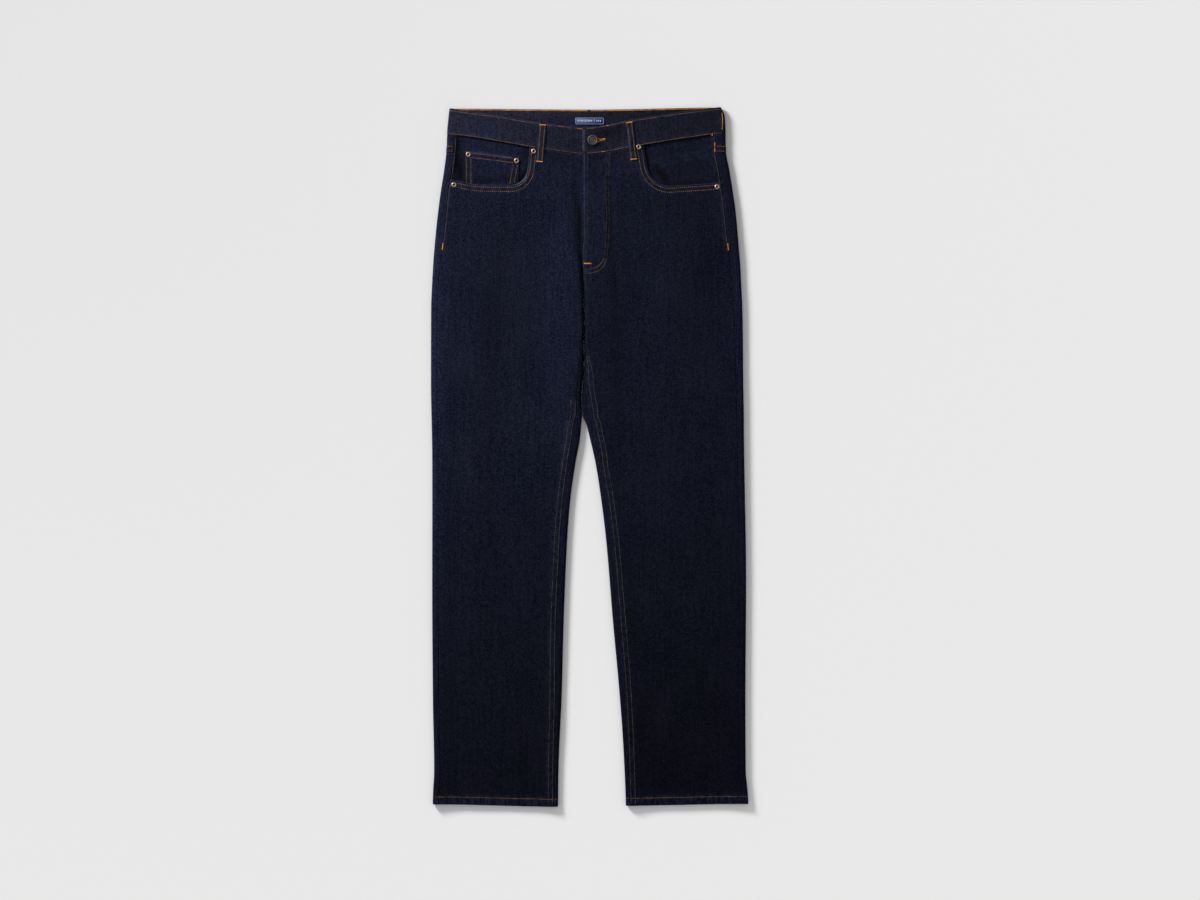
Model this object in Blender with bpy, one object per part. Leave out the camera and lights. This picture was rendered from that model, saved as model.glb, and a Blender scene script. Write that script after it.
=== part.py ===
"""Straight-leg five-pocket jeans, laid flat on their back with the fly closed.

The cloth is built as the garment is cut: two fronts, two backs, two yokes, a waistband, pocket
facings, a coin pocket, two back pockets and five belt loops, each a wall of its own thickness.
Every piece is read off one form, a flattened tube for each half of the garment. A place on it is
given by its distance down from the waist, and by the way round the tube. All sizes are in
millimetres until the last step, which writes metres. +X is the wearer's left, +Y the waist, +Z up.
"""

import math

import bmesh
import bpy
import numpy as np
from mathutils import Vector

MM = 0.001
LENGTH = 1118.0
WAIST_Y = LENGTH / 2
SEAM_GAP = 0.3
CLOTH = 1.2
HEM_WALL = 2.2
HEM_DEPTH = 13.0
BAND_WALL = 2.4
PATCH_WALL = 1.0
SIDES = {"right": -1, "left": 1}


class Curves:
    """A short table read as smooth curves. Its first column is the place, the others are values."""

    def __init__(self, names, *rows):
        self.names = names.split()
        self.places = [row[0] for row in rows]
        self.columns = {name: [row[i] for row in rows] for i, name in enumerate(self.names)}

    def slope(self, values, i):
        """A slope at row i that never overshoots its neighbours."""
        if i in (0, len(values) - 1):
            return 0.0
        before = (values[i] - values[i - 1]) / (self.places[i] - self.places[i - 1])
        after = (values[i + 1] - values[i]) / (self.places[i + 1] - self.places[i])
        return 0.0 if before * after <= 0 else 2 * before * after / (before + after)

    def at(self, name, place):
        values = self.columns[name]
        if place <= self.places[0]:
            return values[0]
        if place >= self.places[-1]:
            return values[-1]
        i = max(k for k, start in enumerate(self.places) if start <= place)
        span = self.places[i + 1] - self.places[i]
        s = (place - self.places[i]) / span
        rise = values[i + 1] - values[i]
        first, last = self.slope(values, i) * span, self.slope(values, i + 1) * span
        return values[i] + s * (first + s * (3 * rise - 2 * first - last + s * (first + last - 2 * rise)))


# How far each side reaches from the middle line, by distance down from the waist.
OUTER = Curves(
    "down right left",
    (0, 224.0, 210.5),
    (13, 225.2, 215.9),
    (36, 227.4, 217.4),
    (68, 228.7, 217.8),
    (100, 232.4, 223.4),
    (132, 237.4, 228.6),
    (164, 241.8, 233.2),
    (196, 245.5, 236.4),
    (260, 250.5, 241.4),
    (324, 253.5, 244.4),
    (436, 253.6, 246.0),
    (564, 251.6, 247.6),
    (756, 251.8, 250.4),
    (948, 250.5, 249.2),
    (1060, 248.4, 249.7),
    (1092, 250.0, 252.6),
    (1118, 250.8, 254.0),
)

# X of each half's inner edge. Above the crotch it is the fly line, and to 492 mm down the legs touch.
INNER = Curves(
    "down right left",
    (0, -8.2, -8.2),
    (132, -8.2, -8.2),
    (306, -9.8, -9.4),
    (415, -9.8, -9.4),
    (466, -13.2, -12.8),
    (492, -11.9, -11.3),
    (508, -13.2, -4.9),
    (532, -15.6, 1.2),
    (564, -21.7, 8.4),
    (628, -30.8, 18.6),
    (692, -35.8, 26.5),
    (820, -41.2, 37.2),
    (948, -44.7, 48.7),
    (1060, -49.6, 55.9),
    (1118, -50.2, 57.8),
)

CROTCH = 306.0
SEAT = Curves("down middle", (0, 0.0), (130, 0.0), (CROTCH, -9.6), (LENGTH, -9.6))

# The form's section: fold radius at the sides, height over the middle, and how far the
# front and back panels turn in (degrees) along the rise. 90 is a whole inner fold.
FORM = Curves(
    "down radius top front_turn back_turn",
    (0, 3.9, 6.9, 0, 0),
    (130, 3.9, 6.9, 0, 0),
    (200, 3.9, 6.9, 22, 0),
    (260, 3.8, 6.7, 52, 22),
    (CROTCH, 3.7, 6.2, 90, 90),
    (420, 3.6, 5.4, 90, 90),
    (LENGTH, 3.6, 5.2, 90, 90),
)
FOLD_REACH = 46.0
BAND_RADIUS = 4.05

# Where the seams run: the side seam's distance in from the outer edge, and how far the inseam
# has come over the inner fold on to the front.
SEAMS = Curves(
    "down right left inseam",
    (0, 12.5, 16.0, 0),
    (120, 12.0, 17.0, 0),
    (185, 13.5, 17.5, 0),
    (CROTCH, 10.5, 14.0, 0),
    (460, 10.0, 11.5, 9.0),
    (520, 10.0, 11.0, 13.5),
    (620, 10.0, 11.0, 11.0),
    (820, 10.0, 10.5, 11.5),
    (LENGTH, 10.0, 10.5, 6.8),
)

# The waistband lies lower at the front than at the back.
WAIST_FRONT = Curves(
    "x top seam",
    (-228, 2.2, 42.5),
    (-191, 7.0, 45.6),
    (-143, 14.0, 53.5),
    (-90, 23.0, 62.6),
    (-39, 30.0, 70.2),
    (-8, 33.0, 73.8),
    (25, 28.6, 70.4),
    (57, 22.0, 63.0),
    (113, 12.8, 53.0),
    (161, 5.8, 45.6),
    (218, 0.4, 39.6),
)
WAIST_BACK = Curves("x top seam", (-228, 2.2, 42.5), (0, 3.8, 44.5), (218, 0.4, 39.6))
YOKE_AT_SIDE, YOKE_AT_MIDDLE = 73.0, 119.0

# The closed front: the left end of the waistband lies over the right end, which runs on beneath it.
LAP_END, UNDERLAP_END, LAP_REACH, LAP_BEND = -8.2, 27.0, 42.0, 34.0
LAP_RISE, UNDERLAP_DROP = 1.2, 1.5
# The left front's fly, thicker with its folded edge, ends in the curve of its stitching.
FLY_RISE, FLY_WIDTH, FLY_FALL, FLY_FOOT, FLY_FADE = 0.9, 26.0, 18.0, 244.0, 34.0

# The back lies raised by this much on its pockets and belt loops, which rest on the surface.
LIFT = 1.5
LIFT_FROM, LIFT_REACH = 6.0, 22.0
LIFT_FADE = (294.0, 334.0)

# The largest folds of the cloth on top: each a soft trough (or ridge, below zero) along a line.
CREASES = (
    # x0, down0, x1, down1, half width, depth
    (-18.5, 128, -15.0, 268, 5.5, 1.5),
    (36.0, 130, 42.0, 300, 7.5, 1.1),
    (-118.0, 190, -146.0, 330, 16.0, 0.8),
    (-62.0, 210, -52.0, 470, 15.0, -0.7),
    (96.0, 250, 88.0, 480, 18.0, 0.6),
    (-176.0, 560, -128.0, 760, 20.0, 0.7),
    (122.0, 880, 84.0, 1020, 14.0, 0.9),
    (-118.0, 905, -78.0, 965, 11.0, 0.8),
)

# The pocket openings: a line down from the waistband, an arc, and a line out to the side seam.
SCOOPS = {
    "right": {"top": (-93.7, 40.0), "corner": (-102.5, 127.0), "end": (-250.0, 115.6), "radius": 34.0},
    "left": {"top": (79.9, 40.0), "corner": (94.8, 129.4), "end": (250.0, 117.2), "radius": 39.0},
}
FACING_DEPTH, FACING_BOTTOM, FACING_INNER = 2.8, 166.0, {"right": -78.0, "left": 66.0}
FACING_SLOPE, FACING_SUNK = 13.0, 107.0  # it sinks over this width, and all of it below this place
COIN = {"left": -198.4, "right": -112.4, "top_left": 70.2, "top_right": 81.0, "bottom": 152.0}

BACK_POCKET = {"middle": 110.0, "top": 124.0, "width": 146.0, "foot": 128.0, "side": 140.0, "point": 160.0}
BACK_POCKET_TILT = math.radians(4)

LOOP_WIDTH, LOOP_WALL, LOOP_BOW = 10.5, 1.3, 0.5
FRONT_LOOPS = {
    "right": {"top": (-74.2, 27.4), "foot": (-79.3, 86.7)},
    "left": {"top": (63.4, 23.2), "foot": (70.8, 82.9)},
}
BACK_LOOPS = {"back_right": -152.0, "back_middle": 0.0, "back_left": 144.0}
BACK_LOOP_LENGTH = 59.0

RIVET_RADIUS, RIVET_HEIGHT = 4.15, 1.4
RIVETS = {
    "rivet_right_front": (-89.2, 70.7, "front"),
    "rivet_right_side": (-216.4, 124.5, "front"),
    "rivet_left_front": (78.6, 63.8, "front"),
    "rivet_left_side": (203.9, 127.5, "front"),
    "rivet_coin_side": (-193.6, 75.6, "coin"),
    "rivet_coin_front": (-116.6, 85.6, "coin"),
}
BUTTON = {"x": 5.2, "down": 53.4, "radius": 8.6, "head": 2.8, "shank": 2.2}
BUTTON_EYE = 2.8
LABEL = {"left": -23.0, "right": 23.4, "top": 16.4, "foot": 28.0, "wall": 0.5}

# Sections down the cloth, and pieces across it.
FRONT_ROWS = (43, 58, 76, 96, 118, 140, 165, 195, 225, 252, 280, 306, 345, 390, 440, 478, 505, 535,
              580, 640, 710, 790, 870, 950, 1020, 1070, LENGTH - HEM_DEPTH - 1, LENGTH - HEM_DEPTH, 1116)
BACK_ROWS = (73, 100, 130, 165, 200, 232, 258, 282, 306, 345, 390, 440, 478, 505, 535,
             580, 640, 710, 790, 870, 950, 1020, 1070, LENGTH - HEM_DEPTH - 1, LENGTH - HEM_DEPTH, 1116)
YOKE_DOWN, YOKE_STEPS = 58.0, 4
TOP_BLEND = 150.0  # a panel's sections are level again this far below its sloping top edge
HEM_BLEND = 116.0
FRONT_EDGE = 12.0  # the width along the rise and inseam that has closer sections


def eased(x):
    """0 below 0, 1 above 1, and a smooth step between."""
    x = min(max(x, 0.0), 1.0)
    return x * x * (3 - 2 * x)


def crease_depth(x, down):
    total = 0.0
    for x0, down0, x1, down1, half_width, depth in CREASES:
        run = (down - down0) / (down1 - down0)
        if 0 < run < 1:
            away = (x - x0 - (x1 - x0) * run) / half_width
            total += depth * math.sin(math.pi * run) ** 0.7 * math.exp(-away * away)
    return total


class Section:
    """One half's section at a distance down: its path runs from the outer fold's tip, over the
    top with rising numbers and under the bottom with falling ones."""

    def __init__(self, side, down, band=False):
        self.side, self.down, self.band = side, down, band
        self.sign = SIDES[side]
        self.outer = OUTER.at(side, down)
        self.inner = INNER.at(side, down) * self.sign
        if band:
            self.inner = self.sign * (LAP_END if side == "left" else UNDERLAP_END + 1)
        self.seat = self.inner if down >= CROTCH else SEAT.at("middle", down) * self.sign
        self.radius = BAND_RADIUS if band else FORM.at("radius", down)
        self.top = 2 * BAND_RADIUS if band else FORM.at("top", down)
        self.front_turn = 0.0 if band else math.radians(FORM.at("front_turn", down))
        self.back_turn = 0.0 if band else math.radians(FORM.at("back_turn", down))
        self.quarter = self.radius * math.pi / 2
        self.front_flat = self.outer - self.inner - self.radius * (1 + math.sin(self.front_turn))
        self.back_flat = self.outer - self.seat - self.radius * (1 + math.sin(self.back_turn))
        self.whole = 2 * self.quarter + self.outer - self.inner - 2 * self.radius

    def over(self, x):
        """The path place over X on the top."""
        return self.quarter + self.outer - self.radius - x * self.sign

    def under(self, x):
        return -self.over(x)

    def side_seam(self):
        return self.quarter + SEAMS.at(self.side, self.down) - self.radius

    def front_end(self):
        """The fly line or rise seam, and below the crotch the inseam."""
        if self.down < CROTCH:
            return self.quarter + self.front_flat + self.radius * self.front_turn
        come_over = SEAMS.at("inseam", self.down)
        if come_over < self.radius:
            return self.whole - self.radius * math.acos(1 - come_over / self.radius)
        return self.whole - self.quarter - (come_over - self.radius)

    def back_end(self):
        if self.down < CROTCH:
            return -(self.quarter + self.back_flat + self.radius * self.back_turn)
        return self.front_end() - 2 * self.whole

    def lift(self, out):
        near_middle = 1 - eased((out - self.seat) / LIFT_REACH)
        turned = eased(math.degrees(self.back_turn) / 40)
        start, end = LIFT_FADE
        return (
            LIFT
            * eased((self.outer - out - LIFT_FROM) / LIFT_REACH)
            * (1 - near_middle * turned)
            * (1 - eased((self.down - start) / (end - start)))
        )

    def top_change(self, out):
        """What is added to the top's height: the middle lies lower than the folds, with its creases."""
        if self.band:
            change = LAP_RISE if self.side == "left" else -UNDERLAP_DROP
            return change * eased((LAP_REACH - out) / LAP_BEND)
        inner_fold = math.sin(self.front_turn) * (1 - eased((out - self.inner) / FOLD_REACH))
        sunk = eased((self.outer - out - self.radius) / FOLD_REACH) * (1 - inner_fold)
        change = (self.top - 2 * self.radius) * sunk
        change -= crease_depth(out * self.sign, self.down) * sunk
        if self.side == "left":
            across = 1 - eased((out - self.inner - FLY_WIDTH) / FLY_FALL)
            change += FLY_RISE * across * (1 - eased((self.down - FLY_FOOT) / FLY_FADE))
        return change

    def at(self, path):
        """The skin's (X, Y, Z) at a path place."""
        if path < -self.whole and self.down >= CROTCH:
            path += 2 * self.whole
        way, r = abs(path), self.radius
        flat = self.front_flat if path >= 0 else self.back_flat
        inner = self.inner if path >= 0 else self.seat
        turn = self.front_turn if path >= 0 else self.back_turn
        if way <= self.quarter:
            out = self.outer - r + r * math.cos(way / r)
            height = math.sin(way / r)
        elif way <= self.quarter + flat:
            out = self.outer - r - (way - self.quarter)
            height = 1.0
        else:
            angle = (way - self.quarter - flat) / r
            out = inner + r * math.sin(turn) - r * math.sin(angle)
            height = math.cos(angle)
        if path >= 0:
            z = r + r * height + self.top_change(out)
        else:
            z = r - r * height + self.lift(out) * height
        return np.array((out * self.sign, WAIST_Y - self.down, z))


def place(side, down, path_at, out=0.0, band=False):
    """A point on the form, moved outwards. path_at gives the path place from the section there."""
    here = Section(side, down, band)
    path = path_at(here)
    step_down, step_path = 0.6, 0.15
    above, below = Section(side, down - step_down, band), Section(side, down + step_down, band)
    along = below.at(path_at(below)) - above.at(path_at(above))
    across = here.at(path + step_path) - here.at(path - step_path)
    normal = np.cross(along, across) * -SIDES[side]
    return here.at(path) + normal / np.linalg.norm(normal) * out


def on_top(side, x, down, out=0.0, band=False):
    return place(side, down, lambda section: section.over(x), out, band)


def on_back(side, x, down, out=0.0, band=False):
    return place(side, down, lambda section: section.under(x), out, band)


# ---------------------------------------------------------------- objects


def clear_scene():
    for obj in list(bpy.data.objects):
        bpy.data.objects.remove(obj)


def make_material(name, colour, roughness, metallic=0.0):
    material = bpy.data.materials.new(name)
    material.use_nodes = True
    shader = material.node_tree.nodes["Principled BSDF"]
    shader.inputs["Base Color"].default_value = (*colour, 1)
    shader.inputs["Roughness"].default_value = roughness
    shader.inputs["Metallic"].default_value = metallic
    return material


def add_object(name, bm, material, location=(0, 0, 0)):
    bmesh.ops.recalc_face_normals(bm, faces=bm.faces)
    mesh = bpy.data.meshes.new(name)
    bm.to_mesh(mesh)
    bm.free()
    mesh.materials.append(material)
    mesh.shade_smooth()
    mesh.set_sharp_from_angle(angle=math.radians(40))
    obj = bpy.data.objects.new(name, mesh)
    obj.location = Vector(location) * MM
    obj.parent = GARMENT
    bpy.context.scene.collection.objects.link(obj)
    return obj


def add_wall(name, outer, inner, material):
    """A closed wall between two grids of points of the same size, in millimetres."""
    bm = bmesh.new()
    skins = [[[bm.verts.new(Vector(point) * MM) for point in row] for row in grid] for grid in (outer, inner)]
    rows, columns = len(outer), len(outer[0])
    for skin in skins:
        for i in range(rows - 1):
            for j in range(columns - 1):
                bm.faces.new((skin[i][j], skin[i][j + 1], skin[i + 1][j + 1], skin[i + 1][j]))
    rim = [(0, j) for j in range(columns)]
    rim += [(i, columns - 1) for i in range(1, rows)]
    rim += [(rows - 1, j) for j in range(columns - 2, -1, -1)]
    rim += [(i, 0) for i in range(rows - 2, 0, -1)]
    for (i, j), (k, m) in zip(rim, rim[1:] + rim[:1]):
        bm.faces.new((skins[0][i][j], skins[0][k][m], skins[1][k][m], skins[1][i][j]))
    return add_object(name, bm, material)


def add_cutter(name, outline, low, high):
    """A prism over a plan outline of (X, down) points, which is cut away and not part of the garment."""
    bm = bmesh.new()
    rings = [[bm.verts.new(Vector((x, WAIST_Y - down, z)) * MM) for x, down in outline] for z in (low, high)]
    for ring in rings:
        bm.faces.new(ring)
    for k in range(len(outline)):
        after = (k + 1) % len(outline)
        bm.faces.new((rings[0][k], rings[0][after], rings[1][after], rings[1][k]))
    cutter = add_object(name, bm, METAL)
    cutter.hide_render = True
    cutter.display_type = "WIRE"
    return cutter


def cut(obj, cutter):
    modifier = obj.modifiers.new("cut", "BOOLEAN")
    modifier.operation = "DIFFERENCE"
    modifier.solver = "EXACT"
    modifier.object = cutter


def wall_at(down):
    """The cloth's thickness: the hem is turned up twice."""
    return HEM_WALL if down > LENGTH - HEM_DEPTH - 0.5 else CLOTH


# ---------------------------------------------------------------- the legs' panels


def front_paths(section):
    """Path places across a front, from the side seam to the rise or inseam."""
    start, end = section.side_seam() + SEAM_GAP / 2, section.front_end() - SEAM_GAP / 2
    turned = section.radius * section.front_turn if section.down < CROTCH else 0.0
    edge = max(turned + 3, FRONT_EDGE)
    return [*np.linspace(start, end - edge, 15), *np.linspace(end - edge, end, 6)[1:]]


def back_paths(section):
    """Path places across a back: from the side seam, round the outer fold, under and up the inner fold."""
    start, end = section.side_seam() - SEAM_GAP / 2, section.back_end() + SEAM_GAP / 2
    inner = -(section.quarter + section.back_flat - LIFT_REACH)
    return [
        *np.linspace(start, section.quarter, 3),
        *np.linspace(section.quarter, -section.quarter, 7)[1:],
        *np.linspace(-section.quarter, inner, 8)[1:],
        *np.linspace(inner, end, 12)[1:],
    ]


def hem_shift(side, x):
    """The hems slope a little in plan."""
    if side == "right":
        return 1.9 - 3.7 * eased((-x - 50) / 200)
    return 0.3 - 2.9 * eased((x - 58) / 196)


def waist_seam(section, path):
    x = section.at(path)[0]
    return (WAIST_FRONT if path >= 0 else WAIST_BACK).at("seam", x)


def yoke_seam(section, path):
    """Level where it comes over to the front, and falling to the middle of the back."""
    if path >= 0:
        return YOKE_AT_SIDE
    out = section.at(path)[0] * section.sign
    run = min(max((section.outer - out) / (section.outer - section.seat), 0), 1)
    return YOKE_AT_SIDE + (YOKE_AT_MIDDLE - YOKE_AT_SIDE) * run


def panel_grid(side, rows, paths, top_edge, inward):
    """Points of a panel whose first row follows top_edge and whose last row follows the hem."""
    grid = []
    for row in rows:
        points = []
        flat = Section(side, row)
        for k, path in enumerate(paths(flat)):
            shift = (top_edge(flat, path) + SEAM_GAP / 2 - rows[0]) * (1 - eased((row - rows[0]) / TOP_BLEND))
            shift += hem_shift(side, flat.at(path)[0]) * eased((row - rows[-1]) / HEM_BLEND + 1)
            down = row + shift
            wall = wall_at(row) if inward else 0.0
            points.append(place(side, down, lambda section, k=k: paths(section)[k], -wall))
        grid.append(points)
    return grid


def add_panel(name, side, rows, paths, top_edge):
    outer = panel_grid(side, rows, paths, top_edge, False)
    inner = panel_grid(side, rows, paths, top_edge, True)
    return add_wall(name, outer, inner, DENIM)


def add_yoke(side):
    """The yoke between the waistband and the back, also round the outer fold."""
    grids = []
    flat = Section(side, YOKE_DOWN)
    for inward in (0.0, -CLOTH):
        grid = []
        for step in np.linspace(0, 1, YOKE_STEPS):
            points = []
            for k, path in enumerate(back_paths(flat)):
                upper = waist_seam(flat, path) + SEAM_GAP / 2
                lower = yoke_seam(flat, path) - SEAM_GAP / 2
                down = upper + (lower - upper) * step
                points.append(place(side, down, lambda section, k=k: back_paths(section)[k], inward))
            grid.append(points)
        grids.append(grid)
    return add_wall("yoke_" + side, *grids, DENIM)


def fillet(top, corner, end, radius, steps=10):
    """The outline from top to end with the corner rounded by an arc."""
    corner = Vector(corner)
    first, last = (Vector(top) - corner).normalized(), (Vector(end) - corner).normalized()
    half = first.angle(last) / 2
    centre = corner + (first + last).normalized() * radius / math.sin(half)
    start = corner + first * radius / math.tan(half)
    stop = corner + last * radius / math.tan(half)
    sweep = (start - centre).angle_signed(stop - centre)
    arc = []
    for k in range(steps + 1):
        turn = -sweep * k / steps
        ray = start - centre
        arc.append(centre + Vector((ray.x * math.cos(turn) - ray.y * math.sin(turn),
                                    ray.x * math.sin(turn) + ray.y * math.cos(turn))))
    return [tuple(top), *[tuple(point) for point in arc], tuple(end)]


def add_front(side):
    """A front with its pocket opening cut out of the upper outer corner."""
    front = add_panel("front_" + side, side, FRONT_ROWS, front_paths, waist_seam)
    scoop = SCOOPS[side]
    outline = fillet(scoop["top"], scoop["corner"], scoop["end"], scoop["radius"])
    outline.append((scoop["end"][0], scoop["top"][1] - 30))
    outline.append((scoop["top"][0], scoop["top"][1] - 30))
    cut(front, add_cutter("scoop_" + side, outline, 3.0, 12.0))


# ---------------------------------------------------------------- the waistband


def band_stations():
    """Places along the waistband, from its upper end over the fly, round the back, to its lower end."""
    stations = []
    for x in (LAP_END, 2, 12, 22, 32, 42, 60, 84, 108, 134, 160, 184, 200):
        stations.append(("left", "top", x))
    for angle in np.linspace(90, -90, 7):
        stations.append(("left", "fold", angle))
    for x in (196, 178, 160, 130, 95, 60, 30):
        stations.append(("left", "under", x))
    for x in (0, -30, -60, -95, -130, -168, -188, -206):
        stations.append(("right", "under", x))
    for angle in np.linspace(-90, 90, 7):
        stations.append(("right", "fold", angle))
    for x in (-210, -188, -162, -134, -108, -84, -60, -42, -32, -22, -12, -2, 8, 18, UNDERLAP_END):
        stations.append(("right", "top", x))
    return stations


def band_point(station, across, out):
    """A point of the waistband, across = 0 at its top edge and 1 at its seam."""
    side, kind, value = station
    edge_x = OUTER.at(side, 20) * SIDES[side] if kind == "fold" else value
    if side == "right" and kind == "top":
        edge_x = min(edge_x, LAP_END)
    table = WAIST_BACK if kind == "under" else WAIST_FRONT
    upper, seam = table.at("top", edge_x), table.at("seam", edge_x) - SEAM_GAP / 2
    down = upper + (seam - upper) * across
    if side == "right" and kind == "top" and value > LAP_END:
        mirrored = WAIST_FRONT.at("top", value), WAIST_FRONT.at("seam", value) - SEAM_GAP / 2
        down = mirrored[0] + (mirrored[1] - mirrored[0]) * across

    def path_at(section):
        if kind == "fold":
            return section.quarter * value / 90
        return section.over(value) if kind == "top" else section.under(value)

    return place(side, down, path_at, out, band=True)


def add_waistband():
    stations = band_stations()
    grids = []
    for inward in (0.0, -BAND_WALL):
        grids.append([[band_point(station, across, inward) for station in stations] for across in (0, 0.33, 0.67, 1)])
    band = add_wall("waistband", *grids, DENIM)
    eye = []
    for k in range(12):
        turn = math.radians(30 * k)
        eye.append((BUTTON["x"] + BUTTON_EYE * math.cos(turn), BUTTON["down"] + BUTTON_EYE * math.sin(turn)))
    cut(band, add_cutter("button_eye", eye, underlap_top() + 0.1, 14.0))


def underlap_top():
    return on_top("right", BUTTON["x"], BUTTON["down"], 0.0, True)[2]


# ---------------------------------------------------------------- pieces that lie on or under a panel


def add_patch(name, side, spots, place_on, out, wall):
    """A thin piece over a grid of (X, down) spots, its inner face moved out by out from the form."""
    outer = [[place_on(side, x, down, out + wall) for x, down in row] for row in spots]
    inner = [[place_on(side, x, down, out) for x, down in row] for row in spots]
    return add_wall(name, outer, inner, DENIM)


def facing_depth(side, x, down):
    """How far the pocket facing lies below the form. At the side seam it comes up level with it."""
    section = Section(side, down)
    inside = section.outer - x * section.sign - SEAMS.at(side, down)
    sunk = max(inside / FACING_SLOPE, (down - FACING_SUNK) / FACING_SLOPE + 1)
    return FACING_DEPTH * eased(sunk)


def add_facing(side):
    sign = SIDES[side]

    def across(u, down):
        side_x = sign * (OUTER.at(side, down) - SEAMS.at(side, down) - SEAM_GAP / 2)
        return side_x + (FACING_INNER[side] - side_x) * u

    spots = []
    for v in np.linspace(0, 1, 9):
        row = []
        for u in (0, 0.03, 0.07, 0.12, 0.2, 0.35, 0.5, 0.68, 0.84, 1):
            upper = WAIST_FRONT.at("seam", across(u, YOKE_DOWN)) + SEAM_GAP / 2
            down = upper + (FACING_BOTTOM - upper) * v
            row.append((across(u, down), down))
        spots.append(row)
    grids = []
    for wall in (0.0, PATCH_WALL):
        grid = [[on_top(side, x, down, -facing_depth(side, x, down) - wall) for x, down in row] for row in spots]
        grids.append(grid)
    add_wall("pocket_facing_" + side, *grids, DENIM)


def add_coin_pocket():
    """The small pocket on the right facing, its lower part behind the front."""
    spots = []
    for v in np.linspace(0, 1, 6):
        row = []
        for u in np.linspace(0, 1, 7):
            upper = COIN["top_left"] + (COIN["top_right"] - COIN["top_left"]) * u
            x = COIN["left"] + (COIN["right"] - COIN["left"]) * u
            row.append((x, upper + (COIN["bottom"] - upper) * v))
        spots.append(row)
    out = SEAM_GAP - FACING_DEPTH
    add_patch("coin_pocket", "right", spots, on_top, out, PATCH_WALL)


def add_back_pocket(side):
    """A plain patch pocket with a pointed foot, on the underside."""
    sign = SIDES[side]
    spots = []
    for v in np.linspace(0, 1, 5):
        row = []
        for u in np.linspace(-1, 1, 7):
            width = BACK_POCKET["width"] + (BACK_POCKET["foot"] - BACK_POCKET["width"]) * v
            depth = BACK_POCKET["side"] + (BACK_POCKET["point"] - BACK_POCKET["side"]) * (1 - abs(u))
            out, fall = u * width / 2, v * depth
            x = BACK_POCKET["middle"] + out * math.cos(BACK_POCKET_TILT) - fall * math.sin(BACK_POCKET_TILT)
            down = BACK_POCKET["top"] - out * math.sin(BACK_POCKET_TILT) + fall * math.cos(BACK_POCKET_TILT)
            row.append((x * sign, down))
        spots.append(row)
    add_patch("back_pocket_" + side, side, spots, on_back, SEAM_GAP, CLOTH)


def loop_spots(top, foot, rows):
    """A grid along a belt loop's middle line."""
    top, foot = Vector(top), Vector(foot)
    across = (foot - top).normalized().orthogonal() * LOOP_WIDTH / 2
    return [[tuple(top.lerp(foot, v) + across * u) for u in (-1, 1)] for v in rows]


def add_front_loop(side):
    """A belt loop over the waistband, tacked at its top edge and below its seam."""
    spots = loop_spots(FRONT_LOOPS[side]["top"], FRONT_LOOPS[side]["foot"], np.linspace(0, 1, 11))
    band_step = 2 * BAND_RADIUS - FORM.at("top", 60)
    grids = []
    for out in (LOOP_WALL, 0.0):
        grid = []
        for k, row in enumerate(spots):
            bow = LOOP_BOW * math.sin(math.pi * min(k / 7, 1))
            points = []
            for x, down in row:
                seam = WAIST_FRONT.at("seam", x)
                above_panel = SEAM_GAP + bow + band_step * (1 - eased((down - seam - 0.5) / 10))
                points.append(on_top(side, x, down, above_panel + out))
            grid.append(points)
        grids.append(grid)
    add_wall("belt_loop_front_" + side, *grids, DENIM)


def add_back_loop(name, x):
    """A belt loop between the surface and the back of the waistband, which lies raised on it."""
    top = WAIST_BACK.at("top", x) + 0.6
    spots = loop_spots((x, top), (x, top + BACK_LOOP_LENGTH), np.linspace(0, 1, 4))
    outer = [[(across, WAIST_Y - down, 0.0) for across, down in row] for row in spots]
    inner = [[(across, WAIST_Y - down, LIFT - SEAM_GAP) for across, down in row] for row in spots]
    add_wall("belt_loop_" + name, outer, inner, DENIM)


def add_label():
    """The bare woven label inside the back of the waistband."""
    height = LIFT + BAND_WALL + SEAM_GAP
    spots = []
    for down in (LABEL["top"], LABEL["foot"]):
        spots.append([(x, WAIST_Y - down) for x in np.linspace(LABEL["left"], LABEL["right"], 3)])
    outer = [[(x, y, height + LABEL["wall"]) for x, y in row] for row in spots]
    inner = [[(x, y, height) for x, y in row] for row in spots]
    add_wall("label", outer, inner, WOVEN)


# ---------------------------------------------------------------- metal


def turned(name, profile, location, segments):
    """A solid turned about Z from (radius, height) points, from the foot's middle to the top's middle."""
    bm = bmesh.new()
    rings = []
    for radius, height in profile[1:-1]:
        ring = []
        for k in range(segments):
            angle = 2 * math.pi * k / segments
            spot = Vector((radius * math.cos(angle), radius * math.sin(angle), height))
            ring.append(bm.verts.new(spot * MM))
        rings.append(ring)
    foot = bm.verts.new(Vector((0, 0, profile[0][1])) * MM)
    crown = bm.verts.new(Vector((0, 0, profile[-1][1])) * MM)
    for k in range(segments):
        after = (k + 1) % segments
        bm.faces.new((foot, rings[0][after], rings[0][k]))
        bm.faces.new((crown, rings[-1][k], rings[-1][after]))
        for low, high in zip(rings, rings[1:]):
            bm.faces.new((low[k], low[after], high[after], high[k]))
    return add_object(name, bm, METAL, location)


def add_rivet(name, x, down, on):
    """A ring-shaped rivet head with a dimple."""
    side = "right" if x < 0 else "left"
    out = SEAM_GAP + (0.0 if on == "front" else PATCH_WALL + SEAM_GAP - FACING_DEPTH)
    foot = max(on_top(side, x + step, down, out)[2] for step in (-4, 0, 4))
    r, h = RIVET_RADIUS, RIVET_HEIGHT
    profile = [(0, 0), (r, 0), (r, 0.4 * h), (0.72 * r, h), (0.42 * r, h), (0.26 * r, 0.5 * h), (0, 0.5 * h)]
    turned(name, profile, (x, WAIST_Y - down, foot), 14)


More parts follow.
